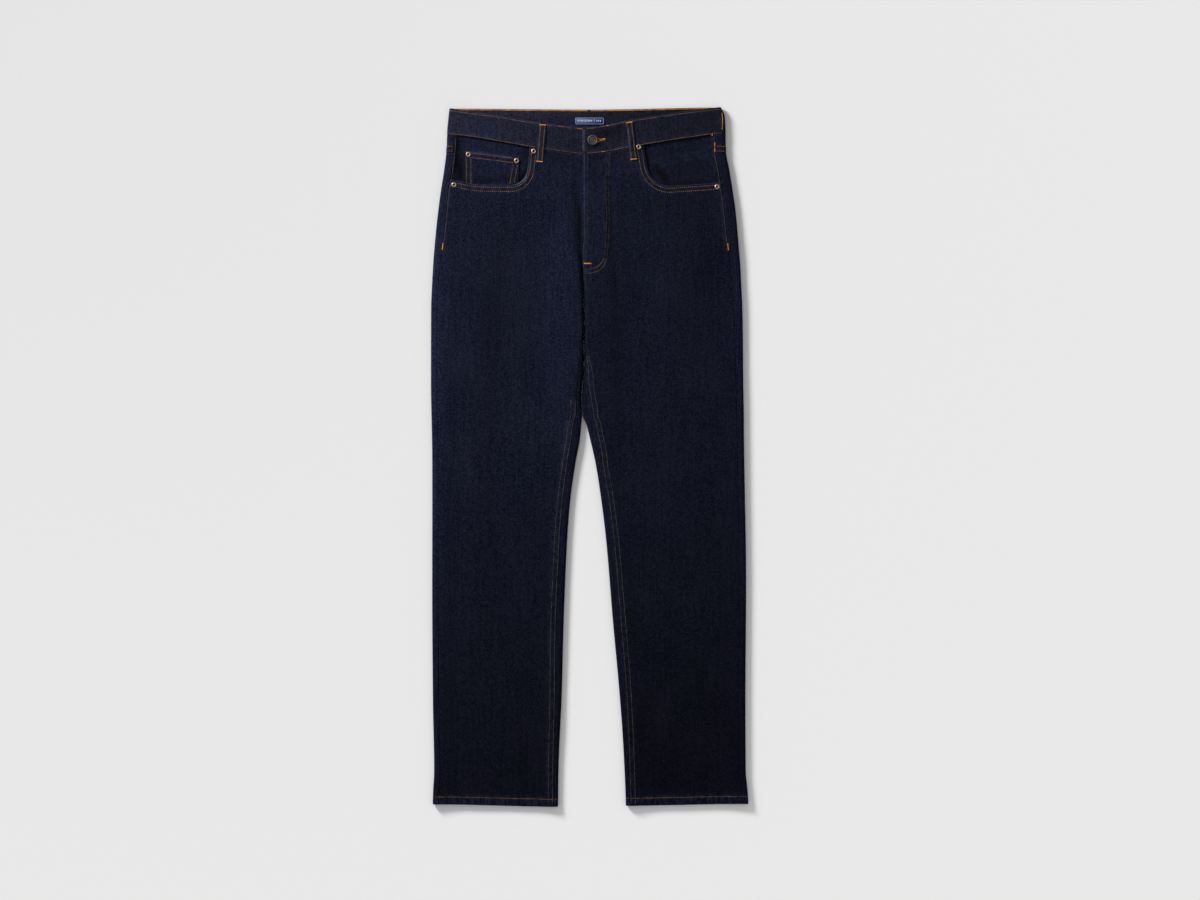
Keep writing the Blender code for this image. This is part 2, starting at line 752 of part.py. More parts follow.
def add_button():
    """The shank button: it is fixed to the underlap and comes up through the buttonhole's eye."""
    x, down = BUTTON["x"], BUTTON["down"]
    foot = underlap_top() + SEAM_GAP
    head = on_top("left", x, down, 0.0, True)[2] + SEAM_GAP - foot
    r, h, s = BUTTON["radius"], BUTTON["head"], BUTTON["shank"]
    profile = [
        (0, 0), (s, 0), (s, head), (0.86 * r, head), (r, head + 0.35 * h), (0.97 * r, head + 0.7 * h),
        (0.84 * r, head + h), (0.7 * r, head + 0.86 * h), (0.3 * r, head + 0.7 * h), (0, head + 0.68 * h),
    ]
    turned("button", profile, (x, WAIST_Y - down, foot), 28)


clear_scene()
GARMENT = bpy.data.objects.new("jeans", None)
bpy.context.scene.collection.objects.link(GARMENT)
DENIM = make_material("dark rinsed denim", (0.009, 0.010, 0.020), 0.85)
WOVEN = make_material("woven label", (0.030, 0.040, 0.085), 0.7)
METAL = make_material("worn brass", (0.30, 0.20, 0.13), 0.4, 1.0)

for half in SIDES:
    add_front(half)
    add_panel("back_" + half, half, BACK_ROWS, back_paths, yoke_seam)
    add_yoke(half)
    add_facing(half)
    add_back_pocket(half)
    add_front_loop(half)
add_coin_pocket()
add_waistband()
for loop, loop_x in BACK_LOOPS.items():
    add_back_loop(loop, loop_x)
add_label()
for rivet, (rivet_x, rivet_down, rivet_on) in RIVETS.items():
    add_rivet(rivet, rivet_x, rivet_down, rivet_on)
add_button()
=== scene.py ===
"""Dark rinsed straight-leg jeans, laid flat on their back with the fly buttoned.

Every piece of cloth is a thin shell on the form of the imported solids, with its folds and its
pressed seams, and every row of sewing is laid stitch by stitch on the cloth. Sizes are in
millimetres until a mesh is written, in metres. +X is the wearer's left, +Y the waist, +Z up.
"""

import math

import bmesh
import bpy
import numpy as np
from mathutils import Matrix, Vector
from mathutils.kdtree import KDTree


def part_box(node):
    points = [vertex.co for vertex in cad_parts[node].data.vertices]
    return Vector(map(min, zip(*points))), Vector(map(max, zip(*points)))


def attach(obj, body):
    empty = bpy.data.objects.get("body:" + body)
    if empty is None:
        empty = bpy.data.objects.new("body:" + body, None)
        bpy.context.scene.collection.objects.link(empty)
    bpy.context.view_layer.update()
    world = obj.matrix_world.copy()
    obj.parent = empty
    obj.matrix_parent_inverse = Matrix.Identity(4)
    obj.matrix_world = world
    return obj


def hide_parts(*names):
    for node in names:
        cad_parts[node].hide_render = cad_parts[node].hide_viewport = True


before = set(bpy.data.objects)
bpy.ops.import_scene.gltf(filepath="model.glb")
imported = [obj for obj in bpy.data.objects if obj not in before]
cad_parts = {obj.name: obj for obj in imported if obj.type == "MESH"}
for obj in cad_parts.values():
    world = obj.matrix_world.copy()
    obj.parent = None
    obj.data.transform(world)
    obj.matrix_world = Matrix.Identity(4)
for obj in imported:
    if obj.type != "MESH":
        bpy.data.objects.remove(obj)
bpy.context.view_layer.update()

MM = 0.001
LENGTH = 1118.0
WAIST_Y = LENGTH / 2
SEAM_GAP = 0.3
CLOTH = 1.2
HEM_WALL = 2.2
HEM_DEPTH = 13.0
BAND_WALL = 2.4
PATCH_WALL = 1.0
BAND_HEIGHT = 39.5
# How far the two faces of a sheet close in on each other at its edges.
EDGE_ROUND = 0.3
SIDES = {"right": -1, "left": 1}


# ---------------------------------------------------------------- the form


class Curves:
    """A short table read as smooth curves. Its first column is the place, the others are values."""

    def __init__(self, names, *rows):
        table = np.array(rows, float)
        self.places = table[:, 0]
        self.columns = dict(zip(names.split(), table.T))

    def at(self, name, place):
        """The value at each place, by cubics that never overshoot the table."""
        values, spans = self.columns[name], np.diff(self.places)
        steep = np.diff(values) / spans
        slopes = np.zeros(len(values))
        for i in range(1, len(values) - 1):
            before, after = steep[i - 1], steep[i]
            if before * after > 0:
                slopes[i] = 2 * before * after / (before + after)
        place = np.clip(place, self.places[0], self.places[-1])
        i = np.clip(np.searchsorted(self.places, place, side="right") - 1, 0, len(spans) - 1)
        s = (place - self.places[i]) / spans[i]
        rise, first, last = steep[i] * spans[i], slopes[i] * spans[i], slopes[i + 1] * spans[i]
        return values[i] + s * (first + s * (3 * rise - 2 * first - last + s * (first + last - 2 * rise)))


# How far each side reaches from the middle line, by distance down from the waist.
OUTER = Curves(
    "down right left",
    (0, 224.0, 210.5),
    (13, 225.2, 215.9),
    (36, 227.4, 217.4),
    (68, 228.7, 217.8),
    (100, 232.4, 223.4),
    (132, 237.4, 228.6),
    (164, 241.8, 233.2),
    (196, 245.5, 236.4),
    (260, 250.5, 241.4),
    (324, 253.5, 244.4),
    (436, 253.6, 246.0),
    (564, 251.6, 247.6),
    (756, 251.8, 250.4),
    (948, 250.5, 249.2),
    (1060, 248.4, 249.7),
    (1092, 250.0, 252.6),
    (1118, 250.8, 254.0),
)

# X of each half's inner edge. Above the crotch it is the fly line, and to 492 mm down the legs touch.
INNER = Curves(
    "down right left",
    (0, -9.5, -9.5),
    (205, -9.5, -9.5),
    (238, -11.3, -11.3),
    (290, -10.2, -9.8),
    (340, -8.9, -8.5),
    (415, -9.2, -8.8),
    (466, -13.0, -12.6),
    (492, -11.9, -11.3),
    (508, -13.2, -4.9),
    (532, -15.6, 1.2),
    (564, -21.7, 8.4),
    (628, -30.8, 18.6),
    (692, -35.8, 26.5),
    (820, -41.2, 37.2),
    (948, -44.7, 48.7),
    (1060, -49.6, 55.9),
    (1118, -50.2, 57.8),
)

CROTCH = 306.0
SEAT = Curves("down middle", (0, 0.0), (130, 0.0), (CROTCH, -9.6), (LENGTH, -9.6))

# The form's section: fold radius at the sides, height over the middle, and how far the
# front and back panels turn in (degrees) along the rise. 90 is a whole inner fold.
FORM = Curves(
    "down radius top front_turn back_turn",
    (0, 3.9, 6.9, 0, 0),
    (130, 3.9, 6.9, 0, 0),
    (200, 3.9, 6.9, 22, 0),
    (260, 3.8, 6.7, 52, 22),
    (CROTCH, 3.7, 6.2, 90, 90),
    (420, 3.6, 5.4, 90, 90),
    (LENGTH, 3.6, 5.2, 90, 90),
)
FOLD_REACH = 46.0
BAND_RADIUS = 4.05

# Where the seams run: the side seam's distance in from the outer edge, and how far the inseam
# has come over the inner fold on to the front.
SIDE_SEAMS = Curves(
    "down right left",
    (0, 12.5, 16.0),
    (120, 12.0, 17.0),
    (185, 13.5, 17.5),
    (CROTCH, 10.5, 14.0),
    (460, 10.0, 11.5),
    (620, 10.0, 11.0),
    (LENGTH, 10.0, 10.5),
)
INSEAMS = Curves(
    "down right left",
    (CROTCH, 0, 0),
    (440, 7.6, 7.8),
    (462, 7.8, 13.0),
    (484, 8.6, 15.9),
    (502, 11.0, 15.5),
    (521, 12.4, 13.2),
    (545, 12.6, 12.8),
    (575, 11.6, 10.4),
    (620, 11.0, 11.0),
    (820, 11.5, 11.5),
    (LENGTH, 6.8, 6.8),
)

# The waistband lies lower at the front than at the back.
WAIST_FRONT = Curves(
    "x top seam",
    (-228, 2.2, 44.6),
    (-191, 7.0, 48.1),
    (-143, 14.0, 55.9),
    (-90, 23.0, 65.1),
    (-39, 30.0, 72.5),
    (-8, 33.0, 75.7),
    (25, 28.6, 72.6),
    (57, 22.0, 66.2),
    (113, 12.8, 56.6),
    (161, 5.8, 49.3),
    (218, 0.4, 42.9),
)
WAIST_BACK = Curves("x top seam", (-228, 2.2, 44.6), (0, 3.8, 46.5), (218, 0.4, 42.9))
YOKE_AT_SIDE, YOKE_AT_MIDDLE = 73.0, 119.0

# The closed front: the left end of the waistband lies over the right end, which runs on beneath it.
LAP_END, UNDERLAP_END, LAP_REACH, LAP_BEND = -11.2, 27.0, 42.0, 34.0
LAP_RISE, UNDERLAP_DROP = 1.2, 1.5
FLY_RISE, FLY_WIDTH, FLY_FALL, FLY_FOOT, FLY_FADE = 0.9, 26.0, 18.0, 244.0, 34.0

# The back lies raised by this much on its pockets and belt loops, which rest on the surface.
LIFT = 1.5
LIFT_FROM, LIFT_REACH = 6.0, 22.0
LIFT_FADE = (294.0, 334.0)

# The folds of the cloth on top: each a soft trough (or ridge, below zero) along a line.
FOLDS = (
    # x0, down0, x1, down1, half width, depth
    (-22.0, 104, -15.0, 246, 3.4, 2.2),
    (-27.0, 110, -20.0, 252, 7.0, 1.0),
    (34.0, 110, 37.0, 236, 5.0, 1.9),
    (37.0, 210, 52.0, 340, 7.0, 1.3),
    (10.0, 84, 8.0, 238, 4.5, 0.8),
    (-118.0, 190, -146.0, 330, 16.0, 0.9),
    (-62.0, 210, -52.0, 470, 15.0, -0.8),
    (96.0, 250, 88.0, 480, 18.0, 0.7),
    (-176.0, 560, -128.0, 760, 20.0, 0.8),
    (122.0, 880, 84.0, 1020, 14.0, 0.9),
    (-118.0, 905, -78.0, 965, 11.0, 0.9),
    # the deep crease that runs on from the fly between the legs
    (-15.6, 190, -8.8, 316, 3.0, 2.6),
    (-8.5, 276, -8.4, 426, 2.4, 2.6),
    (-8.6, 390, -12.8, 480, 3.0, 2.4),
    (-27.0, 484, -39.0, 604, 8.0, -1.2),
    # under the waistband and round the fly
    (-58.0, 92, -49.0, 196, 6.0, 0.5),
    (-36.0, 96, -33.0, 178, 5.0, 0.4),
    (60.0, 104, 66.0, 190, 6.5, 0.45),
    (112.0, 136, 102.0, 230, 8.0, 0.4),
    # the pocket bags show through as low ridges
    (-205.0, 196, -112.0, 214, 6.0, -0.45),
    (108.0, 206, 196.0, 190, 6.0, -0.45),
    # from the crotch out over the thighs
    (-30.0, 300, -92.0, 356, 7.0, 0.55),
    (-24.0, 352, -96.0, 392, 8.0, 0.5),
    (12.0, 306, 78.0, 344, 7.0, 0.5),
    (14.0, 362, 92.0, 420, 9.0, 0.5),
    # behind the knees and over the shins
    (-50.0, 688, -112.0, 662, 6.0, 0.5),
    (-54.0, 742, -100.0, 770, 7.0, 0.55),
    (-132.0, 868, -92.0, 886, 6.5, 0.7),
    (-96.0, 884, -70.0, 922, 4.5, 0.7),
    (-222.0, 1000, -176.0, 1072, 10.0, 0.6),
    (60.0, 858, 88.0, 838, 5.0, 0.6),
    (62.0, 908, 84.0, 890, 4.5, 0.6),
    (66.0, 944, 100.0, 968, 5.5, 0.7),
    (72.0, 1000, 122.0, 1068, 12.0, 0.7),
    (206.0, 700, 170.0, 742, 8.0, 0.5),
    (222.0, 1030, 180.0, 1080, 10.0, 0.5),
)

# Shallower ones on the back, which is pressed against the surface.
BACK_FOLDS = (
    # x0, down0, x1, down1, half width, depth
    (-30.0, 330, -110.0, 372, 9.0, 0.6),
    (18.0, 330, 100.0, 380, 9.0, 0.6),
    (-24.0, 386, -120.0, 420, 8.0, 0.5),
    (20.0, 402, 104.0, 436, 8.0, 0.5),
    (-58.0, 690, -190.0, 720, 9.0, 0.7),
    (-60.0, 742, -170.0, 764, 8.0, 0.6),
    (60.0, 700, 196.0, 716, 9.0, 0.7),
    (64.0, 752, 182.0, 776, 8.0, 0.6),
    (-120.0, 860, -84.0, 1010, 14.0, 0.6),
    (150.0, 850, 120.0, 1000, 14.0, 0.6),
)

# Where the wash has left the dye paler (above zero) or darker; the deep dark lines along the crease from
# the fly and the dark round the button are painted shade.
FADES_AND_PAINTED_SHADE = (
    # x0, down0, x1, down1, half width, share
    (-45.0, 100, -52.0, 560, 26.0, 0.4),
    (-243.0, 90, -249.0, 760, 15.0, 0.55),
    (-250.0, 560, -248.0, 1200, 12.0, 0.42),
    (241.0, 150, 250.0, 520, 15.0, 0.7),
    (250.0, 380, 252.0, 1200, 9.0, 0.5),
    (-142.0, 130, -166.0, 560, 26.0, -0.22),
    (-166.0, 420, -160.0, 900, 26.0, -0.12),
    (40.0, 110, 44.0, 640, 15.0, -0.3),
    (172.0, 90, 188.0, 330, 26.0, -0.2),
    (96.0, 980, 150.0, 1100, 30.0, -0.16),
    # Painted shade along the deep crease from the fly between the legs, and broad beside it below the
    # crotch.
    (-21.5, 104, -15.2, 216, 3.6, -0.65),
    (-15.8, 150, -14.4, 258, 3.2, -0.95),
    (-15.0, 226, -9.2, 304, 2.8, -0.9),
    (-8.9, 274, -8.4, 424, 2.4, -0.85),
    (-7.6, 378, -12.4, 492, 4.2, -0.85),
    (-21.0, 400, -21.0, 520, 8.5, -0.32),
    (-4.9, 80, -5.0, 232, 1.3, -0.45),
    (3.0, 116, 1.0, 262, 5.0, 0.35),
    (16.0, 150, 13.0, 262, 3.5, 0.25),
    # Painted shade round the button on the waistband, in this line and the one after next.
    (-10.0, 56, 66.0, 28, 9.0, -0.5),
    (-170.0, 9, -20.0, 13, 6.0, 0.4),
    (4.0, 30, 2.0, 84, 10.0, -0.3),
    (28.5, 108, 30.0, 250, 4.5, -0.35),
)
# Painted shade in the pocket openings, behind the fronts' edges and beside the coin pocket, and painted
# light (above zero) on the facings, lifting the shadow under the waistband.
OPENING_PAINTED_SHADE_AND_LIGHT = (
    # x0, down0, x1, down1, half width, share
    (-99.0, 52, -104.0, 128, 8.0, -0.6),
    (-102.0, 112, -214.0, 122, 5.0, -0.5),
    (-210.0, 34, -208.0, 132, 8.0, -0.55),
    (86.0, 52, 98.0, 130, 6.0, -0.5),
    (96.0, 126, 214.0, 119, 5.0, -0.4),
    (205.0, 34, 205.0, 130, 5.0, -0.4),
    (76.0, 66, 214.0, 45, 5.0, 0.45),
    (-218.0, 49, -88.0, 69, 5.0, 0.35),
    (120.0, 90, 200.0, 86, 30.0, -0.14),
    (-118.0, 124, -99.0, 100, 5.0, -0.6),
    (98.0, 88, 128.0, 122, 5.0, -0.9),
    (-209.0, 84, -204.0, 126, 6.0, -0.5),
    (-206.0, 62, -130.0, 118, 22.0, 0.2),
)

# The pocket openings: a line down from the waistband, an arc, and a bent line out to the side seam.
SCOOPS = {
    "right": {
        "top": (-92.4, 40.0), "corner": (-101.2, 125.6), "bend": (-182.0, 124.6), "end": (-250.0, 110.6),
        "radius": 27.0, "bend_radius": 150.0,
    },
    "left": {
        "top": (81.4, 40.0), "corner": (97.4, 128.6), "bend": (170.0, 124.0), "end": (250.0, 118.0),
        "radius": 37.0, "bend_radius": 300.0,
    },
}
FACING_DEPTH, FACING_BOTTOM, FACING_INNER = 2.8, 166.0, {"right": -78.0, "left": 66.0}
FACING_SLOPE, FACING_SUNK = 6.0, 107.0
COIN = {"left": -198.4, "right": -112.4, "top_left": 70.2, "top_right": 81.0, "bottom": 152.0}

BACK_POCKET = {"middle": 110.0, "top": 124.0, "width": 146.0, "foot": 128.0, "side": 140.0, "point": 160.0}
BACK_POCKET_TILT = math.radians(4)

LOOP_WIDTH, LOOP_WALL, LOOP_BOW = 10.5, 1.3, 0.5
FRONT_LOOPS = {
    "right": {"top": (-74.2, 27.4), "foot": (-79.5, 89.4)},
    "left": {"top": (63.4, 23.2), "foot": (71.1, 85.6)},
}
BACK_LOOPS = {"right": -152.0, "middle": 0.0, "left": 144.0}
LOOP_LENGTH, BACK_LOOP_LENGTH = 59.5, 59.0
BUTTON_X, BUTTON_DOWN, BUTTON_EYE = 5.2, 53.4, 2.8
LABEL = {"left": -23.0, "right": 23.4, "top": 16.4, "foot": 28.0, "corner": 2.6, "wall": 0.5}
LABEL_BARS = (3.6, 2.6, 3.6, 3.6, 1.8, 3.6, 2.6, 3.6, 3.6, 2.6)
WEAVE_RISE, WEAVE_SUNK = 0.14, 0.2

# Relief of the pressed seams: how high and how wide each is, and how sharp its turned edge.
EDGE_STEP = 0.4
FELL_WIDTH, FELL_RISE = 10.5, 0.5
SIDE_RISE, SIDE_WIDTH, SIDE_TACK, TACKED_WIDTH = 0.3, 12, 222.0, 9
YOKE_RISE = 0.4
WAIST_RISE, WAIST_WIDTH = 0.8, 9
HEM_RISE = 0.35
ROPE_PITCH, ROPE_HEIGHT, ROPE_LEAN = 9.5, 0.42, 0.7
ROPE_DRIFT, ROPE_DRIFT_PITCH = 1.4, 17.0
# Over how far the slopes of a panel's hem and of its upper edge blend into level rows.
HEM_BLEND, TOP_BLEND = 116.0, 150.0
LAST_ROW = 1116.0


def eased(x):
    """0 below 0, 1 above 1, and a smooth step between."""
    x = np.clip(x, 0.0, 1.0)
    return x * x * (3 - 2 * x)


def unit(vectors):
    return vectors / np.linalg.norm(vectors, axis=-1, keepdims=True)


def run_along(points):
    """How far along its line each point is."""
    return np.concatenate([[0], np.cumsum(np.linalg.norm(np.diff(points, axis=0), axis=1))])


def at_places(places, run, values):
    """Rows of values read at places along a run."""
    return np.stack([np.interp(places, run, column) for column in values.T], -1)


def fold_depth(folds, x, down):
    """The sum of a table of folds, or of fades with painted shade, at each place."""
    total = np.zeros(np.broadcast(x, down).shape)
    for x0, down0, x1, down1, half_width, depth in folds:
        length = math.hypot(x1 - x0, down1 - down0)
        ahead = ((x1 - x0) / length, (down1 - down0) / length)
        run = ((x - x0) * ahead[0] + (down - down0) * ahead[1]) / length
        away = ((x - x0) * ahead[1] - (down - down0) * ahead[0]) / half_width
        total += depth * np.sin(np.pi * np.clip(run, 0, 1)) ** 0.7 * np.exp(-away * away)
    return total


def swell(x, down):
    """The slow unevenness of cloth that has been smoothed out by hand."""
    return 0.16 * (
        np.sin(x / 13.7 + 1.3 * np.sin(down / 61.0)) * np.sin(down / 37.0 + 0.8 * np.sin(x / 29.0))
        + 0.8 * np.sin(x / 23.0 - down / 47.0 + 2.0)
        + 0.6 * np.sin(x / 8.3 + down / 19.0) * np.sin(down / 83.0)
    )


class Section:
    """One half's sections at distances down. A path runs from the outer fold's tip, over the
    top with rising numbers and under the bottom with falling ones."""

    def __init__(self, side, down, band=False):
        self.side, self.band, self.sign = side, band, SIDES[side]
        self.down = np.asarray(down, float)
        self.outer = OUTER.at(side, down)
        self.inner = INNER.at(side, down) * self.sign
        if band:
            lap = LAP_END if side == "left" else UNDERLAP_END + 1
            self.inner = np.full_like(self.outer, self.sign * lap)
        self.seat = np.where(self.down >= CROTCH, self.inner, SEAT.at("middle", down) * self.sign)
        still = np.ones_like(self.outer)
        self.radius = BAND_RADIUS * still if band else FORM.at("radius", down)
        self.top = 2 * BAND_RADIUS * still if band else FORM.at("top", down)
        self.front_turn = 0 * still if band else np.radians(FORM.at("front_turn", down))
        self.back_turn = 0 * still if band else np.radians(FORM.at("back_turn", down))
        self.quarter = self.radius * math.pi / 2
        self.front_flat = self.outer - self.inner - self.radius * (1 + np.sin(self.front_turn))
        self.back_flat = self.outer - self.seat - self.radius * (1 + np.sin(self.back_turn))
        self.whole = 2 * self.quarter + self.outer - self.inner - 2 * self.radius

    def over(self, x):
        """The path place over X on the top."""
        return self.quarter + self.outer - self.radius - x * self.sign

    def under(self, x):
        return -self.over(x)

    def side_seam(self):
        return self.quarter + SIDE_SEAMS.at(self.side, self.down) - self.radius

    def front_end(self):
        """The fly line or rise seam, and below the crotch the inseam."""
        rise = self.quarter + self.front_flat + self.radius * self.front_turn
        come_over = INSEAMS.at(self.side, self.down)
        turned = self.whole - self.radius * np.arccos(1 - np.clip(come_over / self.radius, 0, 1))
        flat = self.whole - self.quarter - (come_over - self.radius)
        inseam = np.where(come_over < self.radius, turned, flat)
        return np.where(self.down < CROTCH, rise, inseam)

    def back_end(self):
        rise = -(self.quarter + self.back_flat + self.radius * self.back_turn)
        return np.where(self.down < CROTCH, rise, self.front_end() - 2 * self.whole)

    def lift(self, out):
        near_middle = 1 - eased((out - self.seat) / LIFT_REACH)
        turned = eased(np.degrees(self.back_turn) / 40)
        start, end = LIFT_FADE
        sides = eased((self.outer - out - LIFT_FROM) / LIFT_REACH) * (1 - near_middle * turned)
        return LIFT * sides * (1 - eased((self.down - start) / (end - start)))

    def top_change(self, out):
        """What is added to the top's height: the middle lies lower than the folds, with its creases."""
        if self.band:
            change = LAP_RISE if self.side == "left" else -UNDERLAP_DROP
            return change * eased((LAP_REACH - out) / LAP_BEND)
        inner_fold = np.sin(self.front_turn) * (1 - eased((out - self.inner) / FOLD_REACH))
        sunk = eased((self.outer - out - self.radius) / FOLD_REACH) * (1 - inner_fold)
        x = out * self.sign
        uneven = swell(x, self.down) * eased((self.outer - out) / 30) * eased((self.down - 70) / 40)
        change = (self.top - 2 * self.radius) * sunk + uneven * eased((out - self.inner) / 20)
        if self.side == "left":
            across = 1 - eased((out - self.inner - FLY_WIDTH) / FLY_FALL)
            change = change + FLY_RISE * across * (1 - eased((self.down - FLY_FOOT) / FLY_FADE))
        return change

    def seam_relief(self, path, out):
        """The height that lapped and turned seam allowances add."""
        if self.band:
            return 0.0
        x = out * self.sign
        into_front = self.front_end() - path
        fell = eased((into_front + 0.3) / EDGE_STEP) * eased((FELL_WIDTH + 1.5 - into_front) / 3)
        raised = FELL_RISE * fell * eased((self.down - CROTCH + 20) / 40)
        behind = self.side_seam() - path
        turned_back = eased((behind + 0.2) / EDGE_STEP) * eased((SIDE_WIDTH - behind) / 4)
        raised = raised + SIDE_RISE * turned_back
        tacked = eased((SIDE_TACK + 6 - self.down) / 12)
        turned_front = eased((0.2 - behind) / EDGE_STEP) * eased((TACKED_WIDTH + behind) / 3)
        raised = raised + SIDE_RISE * tacked * turned_front
        raised = raised + WAIST_RISE * eased(1 - (self.down - WAIST_FRONT.at("seam", x)) / WAIST_WIDTH)
        up = LAST_ROW + hem_shift(self.side, x) - self.down
        turned_up = eased((HEM_DEPTH + 0.6 - up) / 1.6)
        drift = ROPE_DRIFT * np.sin(path / ROPE_DRIFT_PITCH)
        rope = np.sin(2 * np.pi * (path + ROPE_LEAN * up) / ROPE_PITCH + drift)
        return raised + turned_up * (HEM_RISE + ROPE_HEIGHT * rope * eased(up / 3))

    def at(self, path):
        """The skin's (X, Y, Z) at path places."""
        path = np.where((path < -self.whole) & (self.down >= CROTCH), path + 2 * self.whole, path)
        front = path >= 0
        way, r = np.abs(path), self.radius
        flat = np.where(front, self.front_flat, self.back_flat)
        inner = np.where(front, self.inner, self.seat)
        turn = np.where(front, self.front_turn, self.back_turn)
        angle = (way - self.quarter - flat) / r
        first, last = way <= self.quarter, way > self.quarter + flat
        out = self.outer - r - (way - self.quarter)
        out = np.where(first, self.outer - r + r * np.cos(way / r), out)
        out = np.where(last, inner + r * np.sin(turn) - r * np.sin(angle), out)
        height = np.where(first, np.sin(way / r), np.where(last, np.cos(angle), 1.0))
        x = out * self.sign
        down = self.down + 0 * out
        raised = 0.0 if self.band else self.seam_relief(path, out) - fold_depth(FOLDS, x, down)
        top = r + r * height + self.top_change(out) + raised * eased(height * 1.2)
        hollow = 0.0 if self.band else fold_depth(BACK_FOLDS, x, down)
        bottom = r - r * height + (self.lift(out) + hollow) * height
        return np.stack([x, WAIST_Y - down, np.where(front, top, bottom)], -1)


STEP_DOWN, STEP_PATH = 0.6, 0.15


def lay(side, path, down, out=0.0, band=False):
    """Points of the form moved out by out, and the normals there."""
    path, down = np.broadcast_arrays(np.asarray(path, float), np.asarray(down, float))
    here = Section(side, down, band)
    below, above = Section(side, down + STEP_DOWN, band), Section(side, down - STEP_DOWN, band)
    along = below.at(path) - above.at(path)
    across = here.at(path + STEP_PATH) - here.at(path - STEP_PATH)
    normals = unit(np.cross(along, across) * -SIDES[side])
    return here.at(path) + normals * np.asarray(out)[..., None], normals


def on_top(side, x, down, out=0.0, band=False):
    return lay(side, Section(side, down, band).over(x), down, out, band)


def on_back(side, x, down, out=0.0, band=False):
    return lay(side, Section(side, down, band).under(x), down, out, band)


def on_line(side, line, out=0.0, band=False):
    """As on_top, for a line of (X, down) points."""
    return on_top(side, line[:, 0], line[:, 1], out, band)


def side_seam_x(side, down):
    """How far the side seam is from the middle line."""
    return OUTER.at(side, down) - SIDE_SEAMS.at(side, down)


def hem_shift(side, x):
    """The hems slope a little in plan."""
    if side == "right":
        return 1.9 - 3.7 * eased((-x - 50) / 200)
    return 0.3 - 2.9 * eased((x - 58) / 196)


def waist_seam(section, path):
    x = section.at(path)[..., 0]
    front = WAIST_FRONT.at("seam", x)
    return np.where(path >= 0, front, WAIST_BACK.at("seam", x))


def yoke_seam(section, path):
    """Level where it comes over to the front, and falling to the middle of the back."""
    out = section.at(path)[..., 0] * section.sign
    run = np.clip((section.outer - out) / (section.outer - section.seat), 0, 1)
    return np.where(path >= 0, YOKE_AT_SIDE, YOKE_AT_SIDE + (YOKE_AT_MIDDLE - YOKE_AT_SIDE) * run)


def spaced(length, pitch, edge=0.6):
    """Shares of a length, a pitch apart, with one more close to each end."""
    inside = np.linspace(2.6 * edge, length - 2.6 * edge, max(int(length / pitch), 2) + 1)
    return np.concatenate([[0, edge], inside, [length - edge, length]]) / length


# ---------------------------------------------------------------- meshes


def add_mesh(name, points, faces, material):
    """An object from points in millimetres."""
    mesh = bpy.data.meshes.new(name)
    mesh.from_pydata((np.asarray(points) * MM).tolist(), [], [tuple(face) for face in faces])
    bm = bmesh.new()
    bm.from_mesh(mesh)
    bmesh.ops.recalc_face_normals(bm, faces=bm.faces)
    if bm.calc_volume(signed=True) < 0:
        bmesh.ops.reverse_faces(bm, faces=bm.faces)
    bm.to_mesh(mesh)
    bm.free()
    mesh.materials.append(material)
    mesh.shade_smooth()
    obj = bpy.data.objects.new(name, mesh)
    bpy.context.scene.collection.objects.link(obj)
    return obj


def ring_faces(index):
    """The quads between each ring of point numbers and the next."""
    after = np.roll(index, -1, axis=1)
    return np.stack([index[:-1], after[:-1], after[1:], index[1:]], -1).reshape(-1, 4)


def shell(name, outer, inner, material):
    """A closed sheet of cloth between two grids of points, its edges rounded."""
    rows, columns = outer.shape[:2]
    edge = np.ones((rows, columns, 1), bool)
    edge[1:-1, 1:-1] = False
    near, far = 1 - EDGE_ROUND, EDGE_ROUND
    closed = near * outer + far * inner, far * outer + near * inner
    outer, inner = np.where(edge, closed[0], outer), np.where(edge, closed[1], inner)
    index = np.arange(rows * columns).reshape(rows, columns)
    quads = np.stack([index[:-1, :-1], index[:-1, 1:], index[1:, 1:], index[1:, :-1]], -1).reshape(-1, 4)
    rim = np.concatenate([index[0], index[1:, -1], index[-1, -2::-1], index[-2:0:-1, 0]])
    sides = ring_faces(np.stack([rim, rim + index.size]))
    faces = np.concatenate([quads, quads[:, ::-1] + index.size, sides]).tolist()
    return add_mesh(name, np.concatenate([outer.reshape(-1, 3), inner.reshape(-1, 3)]), faces, material)


def prism(name, outline, low, high, material):
    """A plate over an outline of (X, down) points."""
    points = [(x, WAIST_Y - down, z) for z in (low, high) for x, down in outline]
    ends = np.arange(len(points)).reshape(2, -1)
    return add_mesh(name, points, ends.tolist() + ring_faces(ends).tolist(), material)


def sheet(name, place, side, across, down, top, foot, material):
    """Cloth between two heights over the form; place is lay, on_top or on_back."""
    return shell(name, place(side, across, down, top)[0], place(side, across, down, foot)[0], material)


def cut_out(obj, outline, low, high):
    """Cuts a plan outline out of an object."""
    cutter = prism("cutter", outline, low, high, obj.data.materials[0])
    modifier = obj.modifiers.new("cut", "BOOLEAN")
    modifier.operation = "DIFFERENCE"
    modifier.solver = "MANIFOLD"
    modifier.object = cutter
    evaluated = obj.evaluated_get(bpy.context.evaluated_depsgraph_get())
    mesh = bpy.data.meshes.new_from_object(evaluated)
    obj.modifiers.clear()
    obj.data = mesh
    bpy.data.objects.remove(cutter)


def merge(name, objects):
    """One object from several, with the first one's material."""
    bm = bmesh.new()
    for obj in objects:
        bm.from_mesh(obj.data)
    mesh = objects[0].data
    bm.to_mesh(mesh)
    bm.free()
    mesh.shade_smooth()
    for obj in objects[1:]:
        bpy.data.objects.remove(obj)
    objects[0].name = name
    return objects[0]


